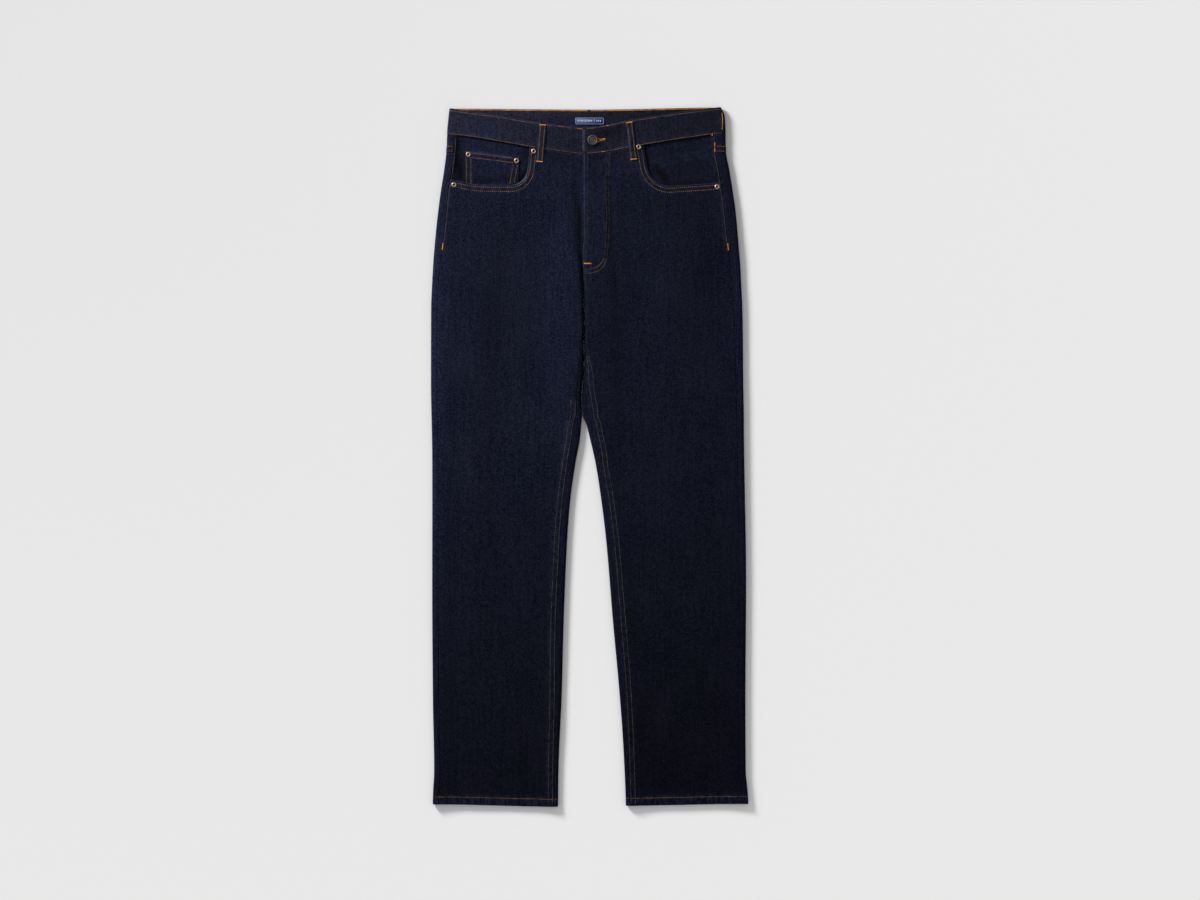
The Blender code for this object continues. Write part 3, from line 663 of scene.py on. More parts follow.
def fillet(top, corner, end, radius, steps=24):
    """The outline from top to end with the corner rounded by an arc."""
    corner = Vector(corner)
    first, last = (Vector(top) - corner).normalized(), (Vector(end) - corner).normalized()
    half = first.angle(last) / 2
    centre = corner + (first + last).normalized() * radius / math.sin(half)
    start, stop = corner + first * radius / math.tan(half), corner + last * radius / math.tan(half)
    sweep, ray = (start - centre).angle_signed(stop - centre), start - centre
    arc = []
    for k in range(steps + 1):
        cos, sin = math.cos(-sweep * k / steps), math.sin(-sweep * k / steps)
        arc.append(tuple(centre + Vector((ray.x * cos - ray.y * sin, ray.x * sin + ray.y * cos))))
    return [tuple(top), *arc, tuple(end)]


def even(points, step=1.2):
    """Points a step apart along a line, straight between those given."""
    points = np.asarray(points, float)
    run = run_along(points)
    return at_places(np.linspace(0, run[-1], max(int(run[-1] / step), 1) + 1), run, points)


def smooth(points, step=1.2):
    """A soft curve through the points given."""
    points = np.asarray(points, float)
    ends = np.concatenate([[2 * points[0] - points[1]], points, [2 * points[-1] - points[-2]]])
    fine = []
    for before, start, stop, after in zip(ends, ends[1:], ends[2:], ends[3:]):
        square = 2 * before - 5 * start + 4 * stop - after
        cube = 3 * start - before - 3 * stop + after
        for t in np.linspace(0, 1, 12, endpoint=False):
            fine.append(0.5 * (2 * start + t * (stop - before + t * (square + t * cube))))
    return even([*fine, points[-1]], step)


def offset(points, distance):
    """A line beside a line of (X, down) points."""
    ahead = unit(np.gradient(points, axis=0))
    return points + np.stack([-ahead[:, 1], ahead[:, 0]], -1) * distance


def opening_outline(side):
    scoop = SCOOPS[side]
    arc = fillet(scoop["top"], scoop["corner"], scoop["bend"], scoop["radius"])
    return arc[:-1] + fillet(scoop["corner"], scoop["bend"], scoop["end"], scoop["bend_radius"])[1:]


def scoop_line(side):
    """The edge of a pocket opening, from the waistband to the side seam."""
    line = even(opening_outline(side))
    inside = line[:, 0] * SIDES[side] < side_seam_x(side, line[:, 1])
    return line[inside & (line[:, 1] > WAIST_FRONT.at("seam", line[:, 0]))]


# ---------------------------------------------------------------- finishes


def linear(code):
    """A colour written as sRGB hex, in linear light."""
    levels = [int(code[k:k + 2], 16) / 255 for k in (1, 3, 5)]
    return [c / 12.92 if c <= 0.04045 else ((c + 0.055) / 1.055) ** 2.4 for c in levels]


def add_node(tree, kind, settings, output=0):
    """Adds a shader node and gives one of its outputs. Its settings are properties, in lower case, and
    sockets, each with its value or with the output that is linked to it."""
    node = tree.nodes.new("ShaderNode" + kind)
    for name, value in settings.items():
        if isinstance(name, str) and name.islower():
            setattr(node, name, value)
        elif isinstance(value, bpy.types.NodeSocket):
            tree.links.new(value, node.inputs[name])
        else:
            node.inputs[name].default_value = value
    return node.outputs[output]


def new_finish(name, settings):
    """A material, its node tree and its shader, with the values that are the same all over."""
    material = bpy.data.materials.new(name)
    material.use_nodes = True
    shader = material.node_tree.nodes["Principled BSDF"]
    for key, value in settings.items():
        shader.inputs[key].default_value = value
    return material, material.node_tree, shader


# Sizes of the denim's pattern in millimetres, the uneven ones along X, Y and Z.
TWILL_PITCH, FLECK, HEATHER, CLOUD, PATCH, NEP_SPACING = 1.3, 2.0, 3.3, 85.0, 7.0, 11.0
STREAK, SLUB, ROPE_CREST = (1.1, 34, 6), (3.4, 60, 9), (2.6, 15, 9)
# How much each layer of it adds to the tone, and the sums that are darkest and lightest.
TONE_SHARES = {"flecks": 0.9, "streaks": 0.32, "heather": 1.0, "slubs": 0.36, "cloud": 0.36, "twill": 0.16}
TONE_DARKEST, TONE_LIGHTEST = 1.29, 1.79
PUCKER_SHARE, ROPE_SHARE = 0.045, 0.05
# A wave's bands repeat 20 / (2 pi) times for each unit of scale.
WAVE_UNIT = 0.314


def indigo_twill(name, dark, light, worn, lean):
    """Rinsed indigo denim: a right-hand twill of blue warp over white weft, woven from uneven ring-spun
    yarn. It gives the eye a nearly black, matt blue with vertical streaks, pale flecks where the weft
    shows, and pale blue along every edge that the wash has rubbed. The real twill repeats at 0.6 mm,
    under a pixel of the picture, so it is drawn at 1.3 mm, and the flecks at 2 mm."""
    material, tree, shader = new_finish(
        name,
        {
            "Roughness": 0.88,
            "Specular IOR Level": 0.05,
            "Sheen Weight": 0.035,
            "Sheen Roughness": 0.4,
            "Sheen Tint": (*linear("#8FA0C8"), 1),
        },
    )
    dark, light, worn = ((*linear(code), 1) for code in (dark, light, worn))
    place = add_node(tree, "TexCoord", {}, "Object")
    layers = {}
    for layer, size, turn, detail in (
        ("streaks", STREAK, 0, 2),
        ("slubs", SLUB, 0, 1),
        ("ropes", ROPE_CREST, 0.2, 1),
    ):
        scale = tuple(1 / (length * MM) for length in size)
        drawn_out = add_node(tree, "Mapping", {"Vector": place, "Rotation": (0, 0, turn), "Scale": scale})
        grain = {"Vector": drawn_out, "Scale": 1.0, "Detail": detail}
        layers[layer] = add_node(tree, "TexNoise", grain, "Fac")
    for layer, size, detail, roughness in (
        ("flecks", FLECK, 2, 0.7),
        ("heather", HEATHER, 3, 0.5),
        ("cloud", CLOUD, 3, 0.5),
        ("patches", PATCH, 2, 0.5),
    ):
        grain = {"Vector": place, "Scale": 1 / (size * MM), "Detail": detail, "Roughness": roughness}
        layers[layer] = add_node(tree, "TexNoise", grain, "Fac")
    twill = {"bands_direction": "DIAGONAL", "Scale": WAVE_UNIT / (TWILL_PITCH * MM), "Distortion": 2.2}
    uneven = {"Detail": 1.0, "Detail Scale": 2.0}
    layers["twill"] = add_node(tree, "TexWave", {**twill, **uneven, "Vector": place}, "Fac")
    flecks, patches = layers["flecks"], layers["patches"]
    tone = 0.0
    for layer, share in TONE_SHARES.items():
        tone = add_node(tree, "Math", {"operation": "MULTIPLY_ADD", 0: layers[layer], 1: share, 2: tone})
    shade = add_node(tree, "MapRange", {"Value": tone, "From Min": TONE_DARKEST, "From Max": TONE_LIGHTEST})
    body = add_node(tree, "Mix", {"data_type": "RGBA", 0: shade, 6: dark, 7: light}, 2)
    # The weft shows between the warps.
    weft = add_node(tree, "MapRange", {"Value": flecks, "From Min": 0.55, "From Max": 0.74, "To Max": 0.05})
    body = add_node(tree, "Mix", {"data_type": "RGBA", 0: weft, 6: body, 7: worn}, 2)
    # Painted shade: the shins darker than the thighs, and one side darker than the other, where the key
    # light falls off.
    x, y, _ = add_node(tree, "SeparateXYZ", {0: place}).node.outputs
    shins = {"interpolation_type": "SMOOTHSTEP", "From Min": -0.59, "From Max": 0.16, "To Min": 0.5}
    lower = add_node(tree, "MapRange", {**shins, "Value": y})
    sides = {"From Min": -0.25, "From Max": 0.25, "To Min": 1 + lean, "To Max": 1 - lean}
    aside = add_node(tree, "MapRange", {**sides, "Value": x})
    painted_shade_and_fade = add_node(tree, "Math", {"operation": "MULTIPLY", 0: lower, 1: aside})
    fade = add_node(tree, "Attribute", {"attribute_name": "fade"}, "Fac")
    fade = add_node(tree, "Math", {"operation": "ADD", 0: fade, 1: 1.0})
    painted_shade_and_fade = add_node(tree, "Math", {"operation": "MULTIPLY", 0: painted_shade_and_fade, 1: fade})
    body = add_node(tree, "VectorMath", {"operation": "SCALE", 0: body, "Scale": painted_shade_and_fade})
    # Neps: small knots of white fibre.
    neps = add_node(tree, "TexVoronoi", {"Vector": place, "Scale": 1 / (NEP_SPACING * MM)}, "Distance")
    knots = {"From Min": 0.03, "From Max": 0.055, "To Min": 0.16, "To Max": 0.0}
    neps = add_node(tree, "MapRange", {**knots, "Value": neps})
    body = add_node(tree, "Mix", {"data_type": "RGBA", 0: neps, 6: body, 7: worn}, 2)
    # Where the seams were rubbed in the wash: in patches beside the stitches, along the crests of the
    # roped hems, and sharp along folded edges, where it is broken by the flecks.
    rub, pucker, roped = (
        add_node(tree, "Attribute", {"attribute_name": worn_by}, "Fac")
        for worn_by in ("rub", "pucker", "roped")
    )
    patchy = add_node(tree, "MapRange", {"Value": patches, "From Min": 0.42, "From Max": 0.66})
    beside = add_node(tree, "Math", {"operation": "MULTIPLY", 0: pucker, 1: patchy})
    beside = add_node(tree, "Math", {"operation": "MULTIPLY", 0: beside, 1: PUCKER_SHARE})
    crests = add_node(tree, "MapRange", {"Value": layers["ropes"], "From Min": 0.44, "From Max": 0.62})
    crests = add_node(tree, "Math", {"operation": "MULTIPLY", 0: roped, 1: crests})
    beside = add_node(tree, "Math", {"operation": "MULTIPLY_ADD", 0: crests, 1: ROPE_SHARE, 2: beside})
    broken = {"From Min": 0.3, "From Max": 0.7, "To Min": 0.55, "To Max": 1.1}
    broken = add_node(tree, "MapRange", {**broken, "Value": flecks})
    wear = add_node(tree, "Math", {"operation": "MULTIPLY", 0: rub, 1: broken})
    wear = add_node(tree, "Math", {"operation": "ADD", "use_clamp": True, 0: wear, 1: beside})
    colour = add_node(tree, "Mix", {"data_type": "RGBA", 0: wear, 6: body, 7: worn}, 2)
    tree.links.new(colour, shader.inputs["Base Color"])
    swollen = add_node(tree, "Math", {"operation": "MULTIPLY", 0: patches, 1: pucker})
    relief = layers["streaks"]
    for raised, share in ((layers["twill"], 0.35), (flecks, 0.8), (swollen, 2.6)):
        relief = add_node(tree, "Math", {"operation": "MULTIPLY_ADD", 0: raised, 1: share, 2: relief})
    bump = add_node(tree, "Bump", {"Strength": 0.9, "Distance": 0.34 * MM, "Height": relief})
    tree.links.new(bump, shader.inputs["Normal"])
    return material


def spun_thread(name, dark, light):
    """Topstitching thread: cotton wrapped on a polyester core, three plies twisted. It is satiny beside
    the denim, and the rinse has left blue in it, so that its colour changes from stitch to stitch."""
    material, tree, shader = new_finish(name, {"Roughness": 0.65, "Specular IOR Level": 0.12})
    dark, light = ((*linear(code), 1) for code in (dark, light))
    place = add_node(tree, "TexCoord", {}, "Object")
    stained = add_node(tree, "TexNoise", {"Vector": place, "Scale": 1 / (9 * MM), "Detail": 3.0}, "Fac")
    share = add_node(tree, "MapRange", {"Value": stained, "From Min": 0.36, "From Max": 0.64})
    colour = add_node(tree, "Mix", {"data_type": "RGBA", 0: share, 6: dark, 7: light}, 2)
    tree.links.new(colour, shader.inputs["Base Color"])
    # The plies cross a 0.8 mm thread at 0.7 mm.
    twist = {"bands_direction": "DIAGONAL", "Scale": WAVE_UNIT / (0.7 * MM), "Distortion": 0.6}
    plies = add_node(tree, "TexWave", {**twist, "Vector": place}, "Fac")
    bump = add_node(tree, "Bump", {"Strength": 0.5, "Distance": 0.08 * MM, "Height": plies})
    tree.links.new(bump, shader.inputs["Normal"])
    return material


def woven_damask(name, dark, light):
    """Damask-woven polyester label: fine bright filament in a dense satin. It shows a faint rib at
    0.5 mm, drawn at its real size, and a slight gloss."""
    material, tree, shader = new_finish(name, {"Roughness": 0.5, "Specular IOR Level": 0.3})
    dark, light = ((*linear(code), 1) for code in (dark, light))
    place = add_node(tree, "TexCoord", {}, "Object")
    grain = add_node(tree, "TexNoise", {"Vector": place, "Scale": 1 / (1.2 * MM), "Detail": 2.0}, "Fac")
    share = add_node(tree, "MapRange", {"Value": grain, "From Min": 0.3, "From Max": 0.7})
    colour = add_node(tree, "Mix", {"data_type": "RGBA", 0: share, 6: dark, 7: light}, 2)
    tree.links.new(colour, shader.inputs["Base Color"])
    ribs = {"bands_direction": "Y", "Scale": WAVE_UNIT / (0.5 * MM), "Distortion": 0.4}
    ribs = add_node(tree, "TexWave", {**ribs, "Vector": place}, "Fac")
    bump = add_node(tree, "Bump", {"Strength": 0.5, "Distance": 0.06 * MM, "Height": ribs})
    tree.links.new(bump, shader.inputs["Normal"])
    return material


def plated_brass(name, bright, dark, pit_and_shade, roughness, spot):
    """Pressed brass, plated and then tumbled with grit: the high places are rubbed brighter than the
    hollows, which take the colour of the pit, and the light is broken up by fine scratches. On the button
    the pit colour is the plating's black, on the rivets painted shade. spot is the size of the tarnish."""
    material, tree, shader = new_finish(name, {"Metallic": 1.0})
    bright, dark, pit_and_shade = ((*linear(code), 1) for code in (bright, dark, pit_and_shade))
    place = add_node(tree, "TexCoord", {}, "Object")
    tarnish = add_node(tree, "TexNoise", {"Vector": place, "Scale": 1 / (spot * MM), "Detail": 4.0}, "Fac")
    share = add_node(tree, "MapRange", {"Value": tarnish, "From Min": 0.35, "From Max": 0.65})
    colour = add_node(tree, "Mix", {"data_type": "RGBA", 0: share, 6: bright, 7: dark}, 2)
    hollow = add_node(tree, "Attribute", {"attribute_name": "hollow"}, "Fac")
    colour = add_node(tree, "Mix", {"data_type": "RGBA", 0: hollow, 6: colour, 7: pit_and_shade}, 2)
    tree.links.new(colour, shader.inputs["Base Color"])
    tarnished = {"Value": tarnish, "To Min": roughness - 0.08, "To Max": roughness + 0.14}
    tree.links.new(add_node(tree, "MapRange", tarnished), shader.inputs["Roughness"])
    grit = add_node(tree, "TexNoise", {"Vector": place, "Scale": 1 / (0.4 * MM), "Detail": 3.0}, "Fac")
    bump = add_node(tree, "Bump", {"Strength": 0.35, "Distance": 0.05 * MM, "Height": grit})
    tree.links.new(bump, shader.inputs["Normal"])
    return material


# The denim's two tones, the colour its rubbed places go to, and how much painted shade makes one side
# darker than the other. The waistband is pressed flat from two layers of the same cloth, so it looks
# smoother and paler.
LEG_DENIM = indigo_twill("rinsed_indigo_twill", "#000210", "#111320", "#55678C", 0.16)
BAND_DENIM = indigo_twill("pressed_indigo_twill", "#020512", "#181924", "#55678C", 0.34)
# Four threads: the tobacco topstitching, the same stained by the dye on the fly, the pale ones of the
# felled seams, from which the wash took the colour, and the bright orange of tacks and buttonhole.
TOBACCO = spun_thread("tobacco_topstitch_thread", "#47300F", "#7E581E")
STAINED = spun_thread("indigo_stained_thread", "#1C140A", "#3E2C12")
WASHED = spun_thread("faded_seam_thread", "#26221D", "#4E443A")
ORANGE = spun_thread("orange_tack_thread", "#8A5508", "#BE7F10")
# The label's ground, and the weft that floats over it for the bars and, duller, for the border.
LABEL_CLOTH = woven_damask("navy_damask", "#0A1428", "#101F3C")
LABEL_YARN = woven_damask("pale_blue_damask", "#5F7799", "#8EA4C2")
BORDER_YARN = woven_damask("dusty_blue_damask", "#3A4E70", "#5C7296")
# The button is blackened and nearly matt. The rivets are tumbled bright, with painted shade in their
# hollows.
BUTTON_METAL = plated_brass("antiqued_brass", "#4A4744", "#383534", "#3E3B3A", 0.55, 2.0)
RIVET_METAL = plated_brass("tumbled_copper_plate", "#B49C8C", "#82695A", "#1C1815", 0.4, 1.5)


# ---------------------------------------------------------------- sewing


STITCH, STITCH_GAP, THREAD = 3.2, 0.45, 0.82
TACK_THREAD, HEM_THREAD, FLY_FOOT_THREAD, CHAIN_THREAD, BUTTONHOLE_THREAD = 0.72, 0.74, 0.6, 1.1, 0.62
# The rings of points that make up a stitch.
STITCH_RINGS = (
    # share of the stitch's length, then rise and width in shares of the thread
    (0.0, -0.55, 0.45),
    (0.18, 0.08, 0.9),
    (0.5, 0.22, 1.0),
    (0.82, 0.08, 0.9),
    (1.0, -0.55, 0.45),
)
STITCH_SIDES = 6
# How far the rows of the underside are pressed into the cloth, by the weight on them.
PRESSED = 0.4
SEWN = {}
WORN = {}


def pressed(row):
    """A row of (points, normals), pressed into the cloth where it is on the underside."""
    points, normals = row
    return points - normals * PRESSED * eased(-3 * normals[:, 2:]), normals


def sew(group, row, pitch=STITCH, thread=THREAD, gap=STITCH_GAP):
    """Lays stitches end to end along a row of (points, normals) on the cloth."""
    points, normals = pressed(row)
    run = run_along(points)
    count = max(int(run[-1] / pitch), 1)
    starts = (np.arange(count) + 0.5 * (run[-1] / pitch - count)) * pitch
    first, last = (at_places(starts + inside, run, points) for inside in (gap / 2, pitch - gap / 2))
    up = at_places(starts + pitch / 2, run, normals)
    SEWN.setdefault(group, []).append((first, last, up, thread))


def tack(row, width=2.1, pitch=0.62):
    """A bar tack: short stitches packed side by side across a row of (points, normals)."""
    points, normals = pressed(row)
    run = run_along(points)
    places = np.arange(0, run[-1], pitch)
    at, up = at_places(places, run, points), at_places(places, run, normals)
    ahead = unit(np.gradient(at, axis=0))
    half, lean = np.cross(ahead, up) * width / 2, ahead * pitch * 0.5
    SEWN.setdefault("bar_tacks", []).append((at - half - lean, at + half + lean, up, TACK_THREAD))


def stitch_meshes():
    """One mesh for each group of rows: every stitch is a short thread that dips into the cloth."""
    made = []
    for group, rows in SEWN.items():
        points, faces, base = [], [], 0
        for start, stop, up, thread in rows:
            ahead = stop - start
            side = unit(np.cross(ahead, up))
            # The points come ring by ring for a whole row of stitches at a time.
            for share, rise, width in STITCH_RINGS:
                centre = start + ahead * share + up * thread * rise
                for k in range(STITCH_SIDES):
                    turn = 2 * math.pi * k / STITCH_SIDES
                    reach = side * math.cos(turn) + up * 0.85 * math.sin(turn)
                    points.append(centre + reach * thread / 2 * width)
            shape = len(STITCH_RINGS), STITCH_SIDES, len(start)
            index = base + np.arange(math.prod(shape)).reshape(shape)
            faces.append(ring_faces(index))
            for ring in (index[0], index[-1]):
                faces += [ring.T[:, [0, 1, 2, 3]], ring.T[:, [0, 3, 4, 5]]]
            base += index.size
        made.append(add_mesh(group, np.concatenate(points), np.concatenate(faces).tolist(), THREADS[group]))
    return made


THREADS = {
    "waistband_stitching": TOBACCO,
    "fly_edge_stitching": STAINED,
    "fly_stitching": STAINED,
    "fly_foot_stitching": TOBACCO,
    "pocket_opening_stitching": TOBACCO,
    "coin_pocket_stitching": TOBACCO,
    "side_seam_stitching": WASHED,
    "yoke_stitching": TOBACCO,
    "inseam_stitching": WASHED,
    "hem_stitching": TOBACCO,
    "seat_seam_stitching": WASHED,
    "back_pocket_stitching": TOBACCO,
    "belt_loop_stitching": TOBACCO,
    "bar_tacks": ORANGE,
    "buttonhole_stitching": ORANGE,
    "waist_chain_stitching": ORANGE,
}


def wear_edge(points, strength, reach=1.3):
    """Marks a folded edge that the wash has rubbed pale, over a reach beside it."""
    WORN.setdefault(reach, []).append((np.asarray(points), np.broadcast_to(strength, len(points))))


# How far a row of stitches puckers the cloth, and how much of its light a crease can lose.
PUCKER_REACH, DARKEST = 4.5, -0.92


def tree_of(points):
    tree = KDTree(len(points))
    for i, point in enumerate(points):
        tree.insert(point, i)
    tree.balance()
    return tree


def mark_wear(objects):
    """Writes on each point of the cloth how worn it is, how faded with its painted shade and light, and how
    near a row of stitches.
    """
    worn = []
    for reach, lines in WORN.items():
        strengths = np.concatenate([strength for _, strength in lines])
        worn.append((reach, tree_of(np.concatenate([points for points, _ in lines])), strengths))
    middles = [(start + stop) / 2 for rows in SEWN.values() for start, stop, _, _ in rows]
    sewn_tree = tree_of(np.concatenate(middles))
    for obj in objects:
        mesh = obj.data
        points = np.empty(len(mesh.vertices) * 3)
        mesh.vertices.foreach_get("co", points)
        points = points.reshape(-1, 3) / MM
        rub, pucker = [], []
        for point in points:
            most = 0.0
            for reach, tree, strengths in worn:
                _, i, away = tree.find(point)
                most = max(most, strengths[i] * math.exp(-((away / reach) ** 1.5)))
            rub.append(most)
            pucker.append(math.exp(-((sewn_tree.find(point)[2] / PUCKER_REACH) ** 2)))
        x, down = points[:, 0], WAIST_Y - points[:, 1]
        fade = fold_depth(FADES_AND_PAINTED_SHADE, x, down)
        # On the facings and the coin pocket: painted shade in the openings and painted light under the
        # waistband's edge.
        if "facing" in obj.name or "coin" in obj.name:
            fade = fade + fold_depth(OPENING_PAINTED_SHADE_AND_LIGHT, x, down)
        # None of this is on the underside.
        fade = np.maximum(fade, DARKEST) * eased((points[:, 2] - 1.0) / 2.0)
        # The turned hems have twisted into ropes, which the wash paled along their crests.
        up = LAST_ROW + hem_shift("right" if x.mean() < 0 else "left", x) - down
        roped = eased((17.5 - up) / 4) * (0.45 + 0.55 * eased((14 - up) / 2))
        for name, values in (("rub", rub), ("pucker", pucker), ("fade", fade), ("roped", roped)):
            mesh.attributes.new(name, "FLOAT", "POINT").data.foreach_set("value", values)


# ---------------------------------------------------------------- the cloth


# How closely the cloth is divided across, and down to where its rows lie close.
PITCH, HIP_END = 3.4, 330.0
# The level that the fronts start from, and the one that the yokes and facings are set out on.
FRONT_TOP, YOKE_ROW = 43.0, 58.0
FRONT_SPAN, BACK_SPAN = 225.0, 285.0
BEAD_SIDES = 8
# X and down of the place a hand rubs most.
RUBBED_MOST = (-106.0, 116.0)
# The height of the legs' form beside the waistband.
SEAT_HEIGHT = 6.9


def leg_rows(first):
    """Places down a leg: close over the hip, wider below, and close again at the hem."""
    hem = LENGTH - HEM_DEPTH
    return np.concatenate([
        [first, first + 0.6],
        np.arange(first + 2, HIP_END, 3.0),
        np.arange(HIP_END, hem - 4, 4.4),
        [hem - 2.5, hem - 1, hem + 0.2],
        np.arange(hem + 1.5, LAST_ROW - 1, 2),
        [LAST_ROW - 0.6, LAST_ROW],
    ])


def panel(name, side, first, ends, shares, top_edge):
    """A leg panel: ends gives the path places of its two edges, top_edge its sloping upper edge."""
    rows = leg_rows(first)[:, None]

    def path_at(down):
        start, end = ends(Section(side, down))
        return start + (end - start) * shares

    level = Section(side, rows)
    path = path_at(rows)
    shift = (top_edge(level, path) + SEAM_GAP / 2 - first) * (1 - eased((rows - first) / TOP_BLEND))
    shift = shift + hem_shift(side, level.at(path)[..., 0]) * eased((rows - LAST_ROW) / HEM_BLEND + 1)
    wall = np.where(rows > LENGTH - HEM_DEPTH - 0.5, HEM_WALL, CLOTH)
    return sheet(name, lay, side, path_at(rows + shift), rows + shift, 0.0, -wall, LEG_DENIM)


def front_ends(section):
    return section.side_seam() + SEAM_GAP / 2, section.front_end() - SEAM_GAP / 2


def back_ends(section):
    return section.side_seam() - SEAM_GAP / 2, section.back_end() + SEAM_GAP / 2


def edge_bead(name, line, side, radius):
    """The rolled edge of a pocket opening, a thin round along its line."""
    points, normals = on_line(side, line, -CLOTH / 2)
    across = unit(np.cross(np.gradient(points, axis=0), normals))
    rings = []
    for k in range(BEAD_SIDES):
        turn = 2 * math.pi * k / BEAD_SIDES
        rings.append(points + radius * (across * math.cos(turn) + normals * 0.95 * math.sin(turn)))
    index = np.arange(len(points) * BEAD_SIDES).reshape(-1, BEAD_SIDES)
    faces = ring_faces(index).tolist() + index[[0, -1]].tolist()
    return add_mesh(name, np.stack(rings, 1).reshape(-1, 3), faces, LEG_DENIM)


def make_front(side):
    """A front with its pocket opening cut out, its turned edge pressed and rubbed."""
    front = panel("front", side, FRONT_TOP, front_ends, spaced(FRONT_SPAN, PITCH), waist_seam)
    scoop = SCOOPS[side]
    above = scoop["top"][1] - 30
    cut_out(front, [*opening_outline(side), (scoop["end"][0], above), (scoop["top"][0], above)], 3.0, 14.0)
    line = scoop_line(side)
    bead = edge_bead("bead", line, side, 0.72)
    # The right one is rubbed most at the foot of its curve, where a hand goes in.
    away = np.hypot(line[:, 0] - RUBBED_MOST[0], line[:, 1] - RUBBED_MOST[1])
    strength = 0.1 + 0.9 * np.exp(-((away / 13) ** 2))
    wear_edge(on_line(side, offset(line, -SIDES[side] * 0.7), 0.1)[0], strength, 0.75)
    front = merge(side + "_front", [front, bead])
    for inside in (3.4, 9.8):
        bar = offset(line, SIDES[side] * inside)
        bar = bar[bar[:, 1] > WAIST_FRONT.at("seam", bar[:, 0]) + 1.5]
        bar = bar[bar[:, 0] * SIDES[side] < side_seam_x(side, bar[:, 1]) - 1.2]
        sew("pocket_opening_stitching", on_line(side, bar))
    return front


def make_back(side):
    return panel(side + "_back", side, YOKE_AT_SIDE, back_ends, spaced(BACK_SPAN, PITCH), yoke_seam)


def make_yoke(side):
    """The yoke between the waistband and the back, also round the outer fold."""
    shares = spaced(250.0, PITCH)

    def path_at(section):
        start, end = back_ends(section)
        return start + (end - start) * shares

    level = Section(side, YOKE_ROW)
    upper = waist_seam(level, path_at(level)) + SEAM_GAP / 2
    lower = yoke_seam(level, path_at(level)) - SEAM_GAP / 2
    down = upper + (lower - upper) * spaced(46.0, 3.0)[:, None]
    path = path_at(Section(side, down))
    near_seam = eased((10 - (lower - down)) / 2.5) * YOKE_RISE
    return sheet(side + "_yoke", lay, side, path, down, near_seam * (path > -4), -CLOTH, LEG_DENIM)


def band_grid(out):
    """Points of the waistband, from its upper end over the fly, round the back, to its lower end."""
    across = spaced(BAND_HEIGHT, 2.6)[:, None]
    pieces = []

    def stretch(side, kind, values):
        values = np.asarray(values, float)[None, :]
        edge_x = OUTER.at(side, 20.0) * SIDES[side] if kind == "fold" else values
        table = WAIST_BACK if kind == "under" else WAIST_FRONT
        upper, seam = table.at("top", edge_x), table.at("seam", edge_x) - SEAM_GAP / 2
        down = upper + (seam - upper) * across + 0 * values
        section = Section(side, down, True)
        if kind == "fold":
            path = section.quarter * values / 90
        else:
            path = section.over(values) if kind == "top" else section.under(values)
        wave = 0.0
        if kind == "top" and out == 0:
            # The stitches gather both edges, and the band between them is not quite flat.
            beside = sum(np.exp(-(((across - at) * BAND_HEIGHT / 4) ** 2)) for at in (0.05, 0.96))
            wave = 0.13 * np.sin(values / 1.55 + 1.2 * np.sin(values / 7.0)) * beside
            wave = wave + 0.25 * np.sin(values / 19.0 + 2 * across) * np.sin(np.pi * across)
        pieces.append(lay(side, path, down, out + wave, True)[0])

    stretch("left", "top", [LAP_END, LAP_END + 0.6, LAP_END + 1.6, *np.arange(-4, 204, 2.4)])
    stretch("left", "fold", np.linspace(90, -90, 13))
    stretch("left", "under", np.arange(200, 0, -4.0))
    stretch("right", "under", np.arange(0, -212, -4.0))
    stretch("right", "fold", np.linspace(-90, 90, 13))
    stretch("right", "top", [*np.arange(-214, 25, 2.4), UNDERLAP_END - 0.6, UNDERLAP_END])
    return np.concatenate(pieces, axis=1)


def make_waistband():
    band = shell("waistband_cloth", band_grid(0.0), band_grid(-BAND_WALL), BAND_DENIM)
    # The keyhole: a round eye for the shank, and a slit towards the side.
    keyhole = []
    for k in range(20):
        turn = 2 * math.pi * (k + 0.5) / 20
        keyhole.append((BUTTON_X + BUTTON_EYE * math.cos(turn), BUTTON_DOWN + BUTTON_EYE * math.sin(turn)))
    x, down = BUTTON_X + 18.5, BUTTON_DOWN - 2.0
    keyhole += [(x, down - 0.35), (x + 0.3, down), (x, down + 0.35)]
    cut_out(band, keyhole, 6.75, 16.0)
    return band


def facing_depth(side, x, down):
    inside = side_seam_x(side, down) - x * SIDES[side]
    return FACING_DEPTH * eased(np.maximum(inside / FACING_SLOPE, (down - FACING_SUNK) / 13 + 1))


def make_facing(side):
    """The cloth that shows in a pocket opening, sunk behind the front."""
    u, v = spaced(135.0, 3.0)[None, :], spaced(115.0, 3.0)[:, None]

    def across(down):
        seam_x = SIDES[side] * (side_seam_x(side, down) - SEAM_GAP / 2)
        return seam_x + (FACING_INNER[side] - seam_x) * u

    upper = WAIST_FRONT.at("seam", across(YOKE_ROW)) + SEAM_GAP / 2
    down = upper + (FACING_BOTTOM - upper) * v
    x = across(down)
    depth = facing_depth(side, x, down)
    return sheet(side + "_pocket_facing", on_top, side, x, down, -depth, -depth - PATCH_WALL, LEG_DENIM)


